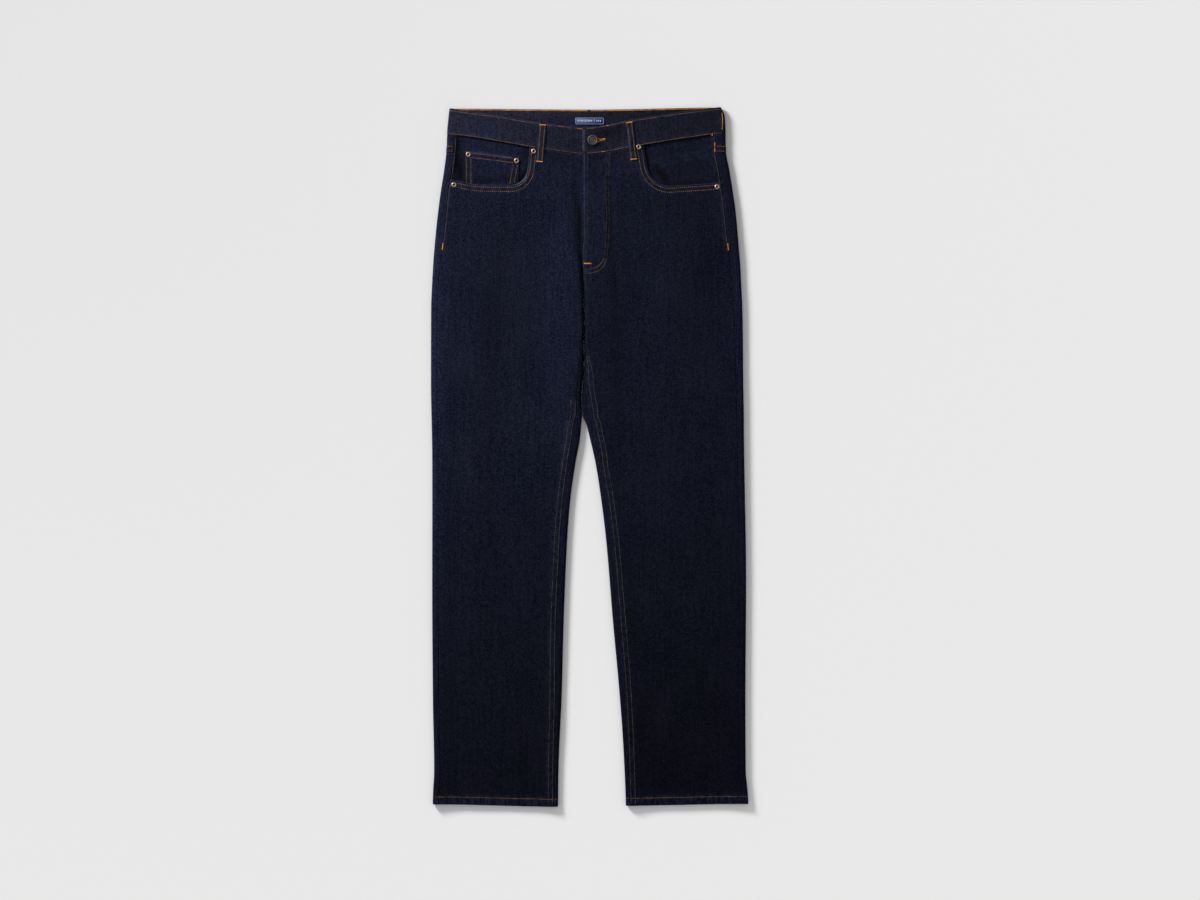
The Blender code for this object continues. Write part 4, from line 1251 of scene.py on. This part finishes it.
def make_coin_pocket():
    """The small pocket on the right facing, its lower part behind the front."""
    left, right, top_left, top_right = (COIN[key] for key in ("left", "right", "top_left", "top_right"))
    slope = (top_right - top_left) / (right - left)
    u, v = spaced(86.0, 2.6)[None, :], spaced(78.0, 2.6)[:, None]
    x, upper = left + (right - left) * u + 0 * v, top_left + (top_right - top_left) * u
    down = upper + (COIN["bottom"] - upper) * v
    foot = SEAM_GAP - FACING_DEPTH
    face = foot + PATCH_WALL
    hem = 0.35 * eased((11 - v * 78) / 2) + 0.12 * np.sin(u * 43 + 3 * v)
    pocket = sheet("coin_pocket_cloth", on_top, "right", x, down, face + hem, foot, LEG_DENIM)

    def row(start, end, lift):
        sew("coin_pocket_stitching", on_line("right", even([start, end]), face + lift))

    for below in (2.2, 9.2):
        row((left + 3, top_left + below + 3 * slope), (right - 3, top_right + below - 3 * slope), 0.35)
    for inside, end in ((2.2, 124.0), (9.0, 124.5)):
        row((left + inside, top_left + 12), (left + inside, end), 0.0)
    for inside, end in ((2.4, 122.0), (9.6, 124.0)):
        row((right - inside, top_right + 10), (right - inside - 5.5, end), 0.0)
    wear_edge(on_line("right", even([(left, top_left), (right, top_right)]), face)[0], 0.1)
    return pocket


def pocket_spot(side, u, v):
    """A place on a back pocket: u runs across from -1 to 1, v down from 0 to 1."""
    width = BACK_POCKET["width"] + (BACK_POCKET["foot"] - BACK_POCKET["width"]) * v
    depth = BACK_POCKET["side"] + (BACK_POCKET["point"] - BACK_POCKET["side"]) * (1 - np.abs(u))
    out, fall = u * width / 2, v * depth
    cos, sin = math.cos(BACK_POCKET_TILT), math.sin(BACK_POCKET_TILT)
    x, down = BACK_POCKET["middle"] + out * cos - fall * sin, BACK_POCKET["top"] - out * sin + fall * cos
    return np.stack([x * SIDES[side], down], -1)


def make_back_pocket(side):
    """A plain patch pocket with a pointed foot, on the underside."""
    u = np.unique(np.concatenate([spaced(73.0, 4.5) - 1, 1 - spaced(73.0, 4.5)]))[None, :]
    spots = pocket_spot(side, u, spaced(150.0, 4.5)[:, None] + 0 * u)
    top = SEAM_GAP + CLOTH
    x, down = spots[..., 0], spots[..., 1]
    pocket = sheet(side + "_back_pocket", on_back, side, x, down, top, SEAM_GAP, LEG_DENIM)
    rows = []
    for inside in (2.0, 8.0):
        edge, foot = 1 - inside / 70, 1 - inside / 150
        rows.append([(-edge, 0.02), (-edge, foot), (0.0, foot), (edge, foot), (edge, 0.02)])
    rows += [[(-0.98, below), (0.98, below)] for below in (0.085, 0.13)]
    for row in rows:
        line = even([pocket_spot(side, *spot) for spot in row])
        sew("back_pocket_stitching", on_back(side, line[:, 0], line[:, 1], top))
    return pocket


def loop_place(top, foot, u, v):
    """(X, down) on a belt loop: u runs across from -1 to 1, v from its top to its foot."""
    top, foot = np.asarray(top), np.asarray(foot)
    u, v = np.broadcast_arrays(np.asarray(u, float), np.asarray(v, float))
    ahead = (foot - top) / np.linalg.norm(foot - top)
    across = np.array([ahead[1], -ahead[0]]) * LOOP_WIDTH / 2
    spots = top + (foot - top) * v[..., None] + across * u[..., None]
    return spots[..., 0], spots[..., 1]


LOOP_SHAPE = Curves(
    "u height", (-1, -0.5), (-0.9, -0.12), (-0.62, -0.2), (0, 0.12), (0.62, -0.2), (0.9, -0.12), (1, -0.5)
)


def loop_shares(count):
    """Places across a belt loop, close at its two edges."""
    return np.concatenate([[-1, -0.9], np.linspace(-0.78, 0.78, count), [0.9, 1]])[None, :]


def make_front_loop(side):
    """A belt loop over the waistband, tacked at its top edge and below its seam."""
    band_step = 2 * BAND_RADIUS - SEAT_HEIGHT - WAIST_RISE

    def laid(u, v, lift):
        """X, down and height on the loop, bowed off the band and stepped down below its seam."""
        x, down = loop_place(FRONT_LOOPS[side]["top"], FRONT_LOOPS[side]["foot"], u, v)
        bow = LOOP_BOW * np.sin(np.pi * np.clip(v / 0.7, 0, 1))
        step = band_step * (1 - eased((down - WAIST_FRONT.at("seam", x) - 0.5) / 10))
        return x, down, SEAM_GAP + bow + step + lift

    u, v = loop_shares(9), spaced(LOOP_LENGTH, 1.5)[:, None]
    x, down, foot = laid(u, v, 0.0)
    tacked = sum(np.exp(-(((v * LOOP_LENGTH - at) / 2) ** 2)) for at in (1.6, LOOP_LENGTH - 1.6))
    face = foot + LOOP_WALL + LOOP_SHAPE.at("height", u) - 0.35 * tacked
    loop = sheet(side + "_front_belt_loop", on_top, side, x, down, face, foot, BAND_DENIM)
    for u in (-0.62, 0.62):
        sew("belt_loop_stitching", on_top(side, *laid(u, np.linspace(0.05, 0.95, 60), LOOP_WALL - 0.15)))
    for v in (0.03, 0.968):
        tack(on_top(side, *laid(np.linspace(-0.94, 0.94, 8), v, LOOP_WALL - 0.1)))
    for u in (-1, 1):
        wear_edge(on_top(side, *laid(u, np.linspace(0, 1, 40), LOOP_WALL - 0.4))[0], 0.1)
    return loop


def make_back_loop(name, x):
    """A belt loop between the surface and the back of the waistband."""
    top = WAIST_BACK.at("top", x) + 0.6
    v = spaced(BACK_LOOP_LENGTH, 3.0)[:, None]
    across, down = loop_place((x, top), (x, top + BACK_LOOP_LENGTH), loop_shares(7), v)
    flat = np.stack([across, WAIST_Y - down, 0 * across], -1)
    loop = shell(name + "_back_belt_loop", flat, flat + (0, 0, LIFT - SEAM_GAP), BAND_DENIM)

    def beneath(line):
        return np.column_stack([line, np.zeros(len(line))]), np.tile((0.0, 0.0, -1.0), (len(line), 1))

    for u in (-0.62, 0.62):
        edge = x + u * LOOP_WIDTH / 2
        sew("belt_loop_stitching", beneath(even([(edge, WAIST_Y - top - 3), (edge, WAIST_Y - top - 56)])))
    for at in (1.6, BACK_LOOP_LENGTH - 1.6):
        tack(beneath(np.column_stack([np.linspace(x - 4.8, x + 4.8, 6), np.full(6, WAIST_Y - top - at)])))
    return loop


def label_outline(inside, rounding, steps=6):
    """A rounded rectangle, a distance inside the label's edge."""
    left, top = LABEL["left"] + inside + rounding, LABEL["top"] + inside + rounding
    right, foot = LABEL["right"] - inside - rounding, LABEL["foot"] - inside - rounding
    outline = []
    for x, down, start in ((right, foot, 0), (left, foot, 90), (left, top, 180), (right, top, 270)):
        for k in range(steps + 1):
            turn = math.radians(start + 90 * k / steps)
            outline.append((x + rounding * math.cos(turn), down + rounding * math.sin(turn)))
    return outline


def make_label():
    """The woven label inside the back of the waistband: a border, a divider and plain bars, no words."""
    base = LIFT + BAND_WALL + SEAM_GAP
    low, high = base + LABEL["wall"] - WEAVE_SUNK, base + LABEL["wall"] + WEAVE_RISE
    corner, divider = LABEL["corner"], LABEL["left"] + 0.66 * (LABEL["right"] - LABEL["left"])
    middle = (LABEL["top"] + LABEL["foot"]) / 2

    def woven_bar(x, down, width, height, yarn):
        corners = [(x, down), (x + width, down), (x + width, down + height), (x, down + height)]
        return prism("bar", corners, low, high, yarn)

    plate = prism("woven_label", label_outline(0, corner), base, base + LABEL["wall"], LABEL_CLOTH)
    outer, inner = label_outline(0.5, corner - 0.4), label_outline(1.5, corner - 1.2)
    rings = ((outer, low), (inner, low), (inner, high), (outer, high))
    points = [(x, WAIST_Y - down, z) for ring, z in rings for x, down in ring]
    index = np.arange(len(points)).reshape(4, -1)
    border = add_mesh("border", points, ring_faces(index[[0, 1, 2, 3, 0]]).tolist(), BORDER_YARN)
    post = woven_bar(divider, LABEL["top"] + 1.2, 0.8, LABEL["foot"] - LABEL["top"] - 2.4, BORDER_YARN)
    bars = [(LABEL["left"] + 4.6 + 2.35 * k, 1.1, height) for k, height in enumerate(LABEL_BARS)]
    bars += [(divider + 3.6 + 2.9 * k, 1.2, 3.6) for k in range(3)]
    weaving = [woven_bar(x, middle - 1.8, width, height, LABEL_YARN) for x, width, height in bars]
    return plate, merge("label_border", [border, post]), merge("label_weaving", weaving)


# ---------------------------------------------------------------- metal


def turned(name, profile, centre, segments, material):
    """A solid turned about Z from (radius, height) points, from the foot's middle to the top's middle."""
    centre, heights = np.array(centre), [height for _, height in profile]
    points = [centre + (0, 0, heights[0]), centre + (0, 0, heights[-1])]
    for radius, height in profile[1:-1]:
        for k in range(segments):
            turn = 2 * math.pi * k / segments
            points.append(centre + (radius * math.cos(turn), radius * math.sin(turn), height))
    index = 2 + np.arange(len(points) - 2).reshape(-1, segments)
    faces = ring_faces(index).tolist()
    for k in range(segments):
        faces += [[0, index[0, k - 1], index[0, k]], [1, index[-1, k], index[-1, k - 1]]]
    obj = add_mesh(name, points, faces, material)
    obj.data.set_sharp_from_angle(angle=math.radians(55))
    # The hollows are darkened as deep as they lie below what is further out: on the button the plating's
    # black, on the rivets painted shade.
    deep = [min(max(heights[: k + 1]) - heights[k], 0.5) / 0.5 for k in range(len(profile))]
    values = [deep[0], deep[-1], *np.repeat(deep[1:-1], segments)]
    obj.data.attributes.new("hollow", "FLOAT", "POINT").data.foreach_set("value", values)
    return obj


def rounded_profile(*points, steps=4, share=0.3):
    """A turned profile with its corners rounded off."""
    points = [np.array(point, float) for point in points]
    soft = [points[0]]
    for before, corner, after in zip(points, points[1:], points[2:]):
        first, last = corner + (before - corner) * share, corner + (after - corner) * share
        for k in range(steps + 1):
            t = k / steps
            soft.append(first * (1 - t) ** 2 + corner * 2 * t * (1 - t) + last * t * t)
    soft.append(points[-1])
    return [tuple(point) for point in soft]


def seat_of(node):
    """The middle of a node's foot, its radius along X and Y, and its height."""
    low, high = (np.array(corner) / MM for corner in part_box(node))
    middle = (low + high) / 2
    return (middle[0], middle[1], low[2]), (high - low)[:2] / 2, (high - low)[2]


# A rivet's head and the button's cap, as shares of the radius. The head's heights are shares of its
# own, and the cap's are millimetres below the top.
RIVET_HEAD = (
    (0, 0), (1, 0), (1, 0.42), (0.8, 0.95), (0.52, 1), (0.4, 0.45), (0.22, 0.42), (0.16, 0.62), (0, 0.66),
)
BUTTON_CAP = (
    (0.86, 2.8), (1, 1.8), (0.97, 0.7), (0.86, 0), (0.74, 0.1), (0.7, 0.75), (0.46, 0.85), (0.42, 0.5),
    (0.34, 0.5), (0.3, 0.9), (0.12, 0.9), (0.08, 0.6), (0, 0.55),
)
SHANK_RADIUS = 2.2


def make_rivet(node):
    """A burred rivet head: a bright ring round a sunk middle, painted dark for its shade."""
    centre, (_, radius), tall = seat_of(node)
    profile = rounded_profile(*[(out * radius, up * tall) for out, up in RIVET_HEAD])
    return turned(node.replace("rivet_", "") + "_rivet", profile, centre, 28, RIVET_METAL)


def make_button():
    """The shank button: a pressed cap with a rolled rim and a dished, ringed face."""
    centre, (radius, _), tall = seat_of("button")
    shank = ((0, 0), (SHANK_RADIUS, 0), (SHANK_RADIUS, tall - BUTTON_CAP[0][1]))
    profile = rounded_profile(*shank, *[(out * radius, tall - below) for out, below in BUTTON_CAP])
    return turned("shank_button", profile, centre, 56, BUTTON_METAL)


# ---------------------------------------------------------------- rows of stitches along the seams


def sew_waistband():
    """Edge stitching along both edges of the waistband, front and back, and across its upper end."""
    for edge, inside in (("top", 2.2), ("seam", -1.5)):
        for side, xs in (("left", np.arange(-4.5, 212, 1.0)), ("right", np.arange(-224, -9.5, 1.0))):
            # Towards the sides the upper row lies farther in.
            down = WAIST_FRONT.at(edge, xs) + inside + (0.008 * np.abs(xs) if edge == "top" else 0)
            sew("waistband_stitching", on_top(side, xs, down, 0.0, True))
            xs = xs[np.abs(xs) > 1] if side == "left" else xs
            xs = np.clip(xs, 0, 210) if side == "left" else np.append(xs, np.arange(-9.5, 0))
            sew("waistband_stitching", on_back(side, xs, WAIST_BACK.at(edge, xs) + inside, 0.0, True))
    down = np.arange(WAIST_FRONT.at("top", -4.0) + 2.5, WAIST_FRONT.at("seam", -4.0) - 1.5, 1.0)
    sew("waistband_stitching", on_top("left", LAP_END + 2.6 + 0 * down, down, 0.0, True))
    # Inside the back of the band the chain of loops stands up from the cloth.
    for side, xs in (("left", np.arange(0.5, 209, 1.0)), ("right", np.arange(-222, -0.5, 1.0))):
        points, normals = on_back(side, xs, WAIST_BACK.at("top", xs) + 1.7, -BAND_WALL, True)
        for aside in (-0.35, 0.35):
            sew("waist_chain_stitching", (points + (0, aside, 0), -normals), 2.9, CHAIN_THREAD, 0.1)
    # On the left the chain turns down along the fold.
    down = np.arange(9.5, 37.5, 1.0)
    turned_down = on_top("left", 212.4 - 0.004 * (down - 24) ** 2, down, 0.1, True)
    sew("waist_chain_stitching", turned_down, 2.4, CHAIN_THREAD, 0.1)
    # Where rows start and end they are sewn twice.
    doubled = ((-15.0, "top", 2.2, 4.5), (29.0, "top", 2.2, 1.2), (22.0, "seam", -1.5, 3.0))
    for x, edge, inside, reach in doubled:
        side = "left" if x > LAP_END else "right"
        xs = np.linspace(x - reach, x + reach, 8)
        tack(on_top(side, xs, WAIST_FRONT.at(edge, xs) + inside, 0.1, True), width=1.2, pitch=0.8)


# The fly's rows as (X, down): its folded edge, and the outer and inner row of its curve.
FLY_EDGE = ((-3.0, 77), (-2.8, 140), (-3.2, 205), (-4.9, 236), (-5.2, 248))
FLY_OUTER = (
    (31.9, 73), (30.6, 132), (31.6, 180), (28.9, 232), (26.0, 247), (21.0, 256),
    (14, 262), (2, 265.4), (-9, 266),
)
FLY_INNER = (
    (27.0, 73), (26.3, 132), (27.4, 180), (24.7, 232), (22.0, 244), (17, 251),
    (11, 256), (1.7, 259), (-9, 259.6),
)
FLY_CURVE = 240


def sew_fly():
    """The folded edge of the fly, its curved double row, and the rise seam below it."""
    sew("fly_edge_stitching", on_line("left", smooth(FLY_EDGE)))
    for line in (smooth(FLY_OUTER), smooth(FLY_INNER)):
        sew("fly_stitching", on_line("left", line[line[:, 1] < FLY_CURVE]))
        sew("fly_foot_stitching", on_line("left", line[line[:, 1] >= FLY_CURVE]), thread=FLY_FOOT_THREAD)
    down = np.arange(268, 292, 1.0)
    sew("fly_stitching", on_top("left", INNER.at("left", down) + 3.2, down))
    xs = np.linspace(-8.4, 3.0, 12)
    tack(on_top("left", xs, 250.2 + 0 * xs, 0.15))
    # The folded edges of the fly and of the lap above it are rubbed.
    down = np.arange(76, 256, 1.5)
    worn = 0.22 + 0.1 * eased((100 - down) / 20) + 0.05 * np.sin(down / 5.0)
    wear_edge(on_top("left", INNER.at("left", down) + 0.2, down)[0], worn, 1.0)
    down = np.arange(30, 73, 1.5)
    worn = 0.26 + 0.12 * np.sin(down / 3.0)
    wear_edge(on_top("left", LAP_END + 0.1 + 0 * down, down, 0.0, True)[0], worn, 0.9)


def sew_legs(side):
    """The side seam down to its tack, the double row of the inseam, and the hem."""
    down = np.arange(WAIST_FRONT.at("seam", SIDES[side] * 206.0) + 3, SIDE_TACK - 4, 1.2)
    sew("side_seam_stitching", lay(side, Section(side, down).side_seam() + 2.0, down))
    ends = np.linspace(SIDE_TACK - 4, SIDE_TACK + 7, 10)
    tack(lay(side, Section(side, ends).side_seam() + 0.6, ends, 0.15), width=1.9)
    # Near the crotch the seam's rows turn under the fold together.
    down = np.arange(398 if side == "left" else 466, LAST_ROW - 2, 1.6)
    end = Section(side, down).front_end()
    spread = eased((down - 385) / 55)
    for inside in (1.9 * spread, 2.6 + 6.2 * spread):
        sew("inseam_stitching", lay(side, end - inside, down))
    # The hem's row goes all round the leg.
    level = Section(side, LAST_ROW)
    end = level.front_end()
    path = np.arange(end - 2 * level.whole, end, 1.2)
    down = LAST_ROW + hem_shift(side, level.at(path)[..., 0]) - HEM_DEPTH + 0.9
    sew("hem_stitching", lay(side, path, down), thread=HEM_THREAD)


def sew_backs(side):
    """The double rows above the yoke seam, and on the left those beside the seat seam."""
    level = Section(side, YOKE_AT_SIDE - 6)
    start, end = back_ends(level)
    path = np.arange(float(start) - 0.8, float(end) + 1, -1.2)
    for above in (2.2, 9.8):
        sew("yoke_stitching", lay(side, path, yoke_seam(level, path) - above, YOKE_RISE * (path > -4)))
    if side == "left":
        down = np.arange(YOKE_AT_MIDDLE + 4, CROTCH - 4, 1.2)
        for inside in (2.2, 8.6):
            sew("seat_seam_stitching", on_back(side, Section(side, down).seat * SIDES[side] + inside, down))
        # The yoke seam's tacks show beside the right-hand edge of the picture.
        for down, length, inside in ((43.8, 2.6, 5.5), (57.0, 6.0, 1.2), (65.5, 6.5, 1.2)):
            ends = np.linspace(down, down + length, 6)
            tack(lay(side, Section(side, ends).side_seam() + inside, ends, 0.15), width=1.6, pitch=0.7)


# The buttonhole's tail as (X, down): out along its upper side, round, and back.
BUTTONHOLE_TAIL = (
    (10.0, 50.0), (13.4, 50.4), (16.5, 52.2), (20.0, 51.6), (23.6, 50.6), (24.6, 51.6), (23.6, 52.7),
    (20.0, 53.4), (16.0, 54.6), (13.0, 56.6), (10.0, 57.2),
)


def sew_buttonhole():
    """Close stitches round the keyhole, of which the tail shows beside the button."""
    points, normals = on_line("left", smooth(BUTTONHOLE_TAIL, 0.4), 0.05, True)
    ahead = unit(np.gradient(points, axis=0))
    across = np.cross(ahead, normals) * 0.8
    row = points - across, points + across + ahead * 0.3, normals, BUTTONHOLE_THREAD
    SEWN.setdefault("buttonhole_stitching", []).append(row)


# ---------------------------------------------------------------- light, camera and floor


EYE = (0.0167, 0.0111, 3.8)
VIEW_WIDTH, SENSOR = 1.92, 36.0
KEY_PLACE, KEY_SIZE, KEY_WATTS = Vector((-1.8, 1.75, 1.05)), 0.72, 140.0
SKY = 0.605
FLOOR_BASE, KEY_SHARE = 0.606, 0.55


def studio():
    """A soft key low at the upper left, an even fill, and the camera straight above."""
    light = bpy.data.lights.new("key", "AREA")
    light.shape = "DISK"
    light.size = KEY_SIZE
    light.energy = KEY_WATTS
    lamp = bpy.data.objects.new("key", light)
    lamp.location = KEY_PLACE
    lamp.rotation_euler = (-KEY_PLACE).to_track_quat("-Z", "Y").to_euler()
    bpy.context.scene.collection.objects.link(lamp)
    world = bpy.data.worlds.new("studio")
    world.use_nodes = True
    world.node_tree.nodes["Background"].inputs["Color"].default_value = (1, 1, 1, 1)
    world.node_tree.nodes["Background"].inputs["Strength"].default_value = SKY
    bpy.context.scene.world = world
    camera = bpy.data.cameras.new("camera")
    camera.sensor_width = SENSOR
    camera.lens = SENSOR * EYE[2] / VIEW_WIDTH
    eye = bpy.data.objects.new("camera", camera)
    eye.location = EYE
    bpy.context.scene.collection.objects.link(eye)
    bpy.context.scene.camera = eye
    bpy.context.scene.view_settings.view_transform = "Standard"


def seamless_paper():
    """Matt background paper, graded darker towards the key, so that it shows as one even pale grey."""
    material, tree, shader = new_finish("seamless_paper", {"Roughness": 1.0, "Specular IOR Level": 0.0})
    place = add_node(tree, "NewGeometry", {}, "Position")
    away = add_node(tree, "VectorMath", {"operation": "SUBTRACT", 0: place, 1: tuple(KEY_PLACE)}, "Vector")
    length = add_node(tree, "VectorMath", {"operation": "LENGTH", 0: away}, "Value")
    facing = tuple(-KEY_PLACE.normalized())
    ahead = add_node(tree, "VectorMath", {"operation": "DOT_PRODUCT", 0: away, 1: facing}, "Value")
    far = add_node(tree, "Math", {"operation": "POWER", 0: length, 1: 4.0})
    light = add_node(tree, "Math", {"operation": "DIVIDE", 0: ahead, 1: far})
    gain = KEY_SHARE * KEY_PLACE.length**3
    light = add_node(tree, "Math", {"operation": "MULTIPLY_ADD", 0: light, 1: gain, 2: 1 - KEY_SHARE})
    tone = add_node(tree, "Math", {"operation": "DIVIDE", 0: FLOOR_BASE, 1: light})
    tone = add_node(tree, "Math", {"operation": "MINIMUM", 0: tone, 1: 0.95})
    colour = add_node(tree, "CombineColor", {0: tone, 1: tone, 2: tone})
    tree.links.new(colour, shader.inputs["Base Color"])
    return material


# Just below the surface the garment lies on, clear of the stitches of its underside.
FLOOR_HALF, FLOOR_Z = 3000.0, -0.4


def make_floor():
    """A sheet of seamless paper, far wider than the picture."""
    corners = [(x * FLOOR_HALF, y * FLOOR_HALF, FLOOR_Z) for x, y in ((-1, -1), (1, -1), (1, 1), (-1, 1))]
    floor = add_mesh("floor", corners, [(0, 1, 2, 3)], seamless_paper())


# ---------------------------------------------------------------- the garment, piece by piece


def finish_piece(obj, node):
    """Hangs a piece on the root empty and hides the node that it stands for."""
    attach(obj, "root")
    if node:
        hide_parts(node)


studio()
make_floor()
cloth = []
for half in SIDES:
    pieces = (
        (make_front(half), "front_" + half, "front", "back_" + half),
        (make_back(half), "back_" + half, "back", "floor"),
        (make_yoke(half), "yoke_" + half, "yoke", "floor"),
        (make_facing(half), "pocket_facing_" + half, "facing", "back_" + half),
        (make_back_pocket(half), "back_pocket_" + half, "back_pocket", "floor"),
    )
    for piece, node, cut, below in pieces:
        finish_piece(piece, node)
        cloth.append(piece)
    loop = make_front_loop(half)
    finish_piece(loop, "belt_loop_front_" + half)
    cloth.append(loop)
    sew_legs(half)
    sew_backs(half)
coin_pocket = make_coin_pocket()
finish_piece(coin_pocket, "coin_pocket")
waistband = make_waistband()
finish_piece(waistband, "waistband")
cloth += [coin_pocket, waistband]
for name, loop_x in BACK_LOOPS.items():
    loop = make_back_loop(name, loop_x)
    finish_piece(loop, "belt_loop_back_" + name)
    cloth.append(loop)
label, border, weaving = make_label()
finish_piece(label, "label")
finish_piece(border, None)
finish_piece(weaving, None)
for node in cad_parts:
    if node.startswith("rivet_"):
        finish_piece(make_rivet(node), node)
finish_piece(make_button(), "button")

sew_waistband()
sew_fly()
sew_buttonhole()
for edge in ("top", "seam"):
    for half, xs in (("left", np.arange(-8, 209, 1.5)), ("right", np.arange(-219, -9, 1.5))):
        wear_edge(on_top(half, xs, WAIST_FRONT.at(edge, xs), 0.0, True)[0], 0.05)
for piece in stitch_meshes():
    finish_piece(piece, None)
mark_wear(cloth)
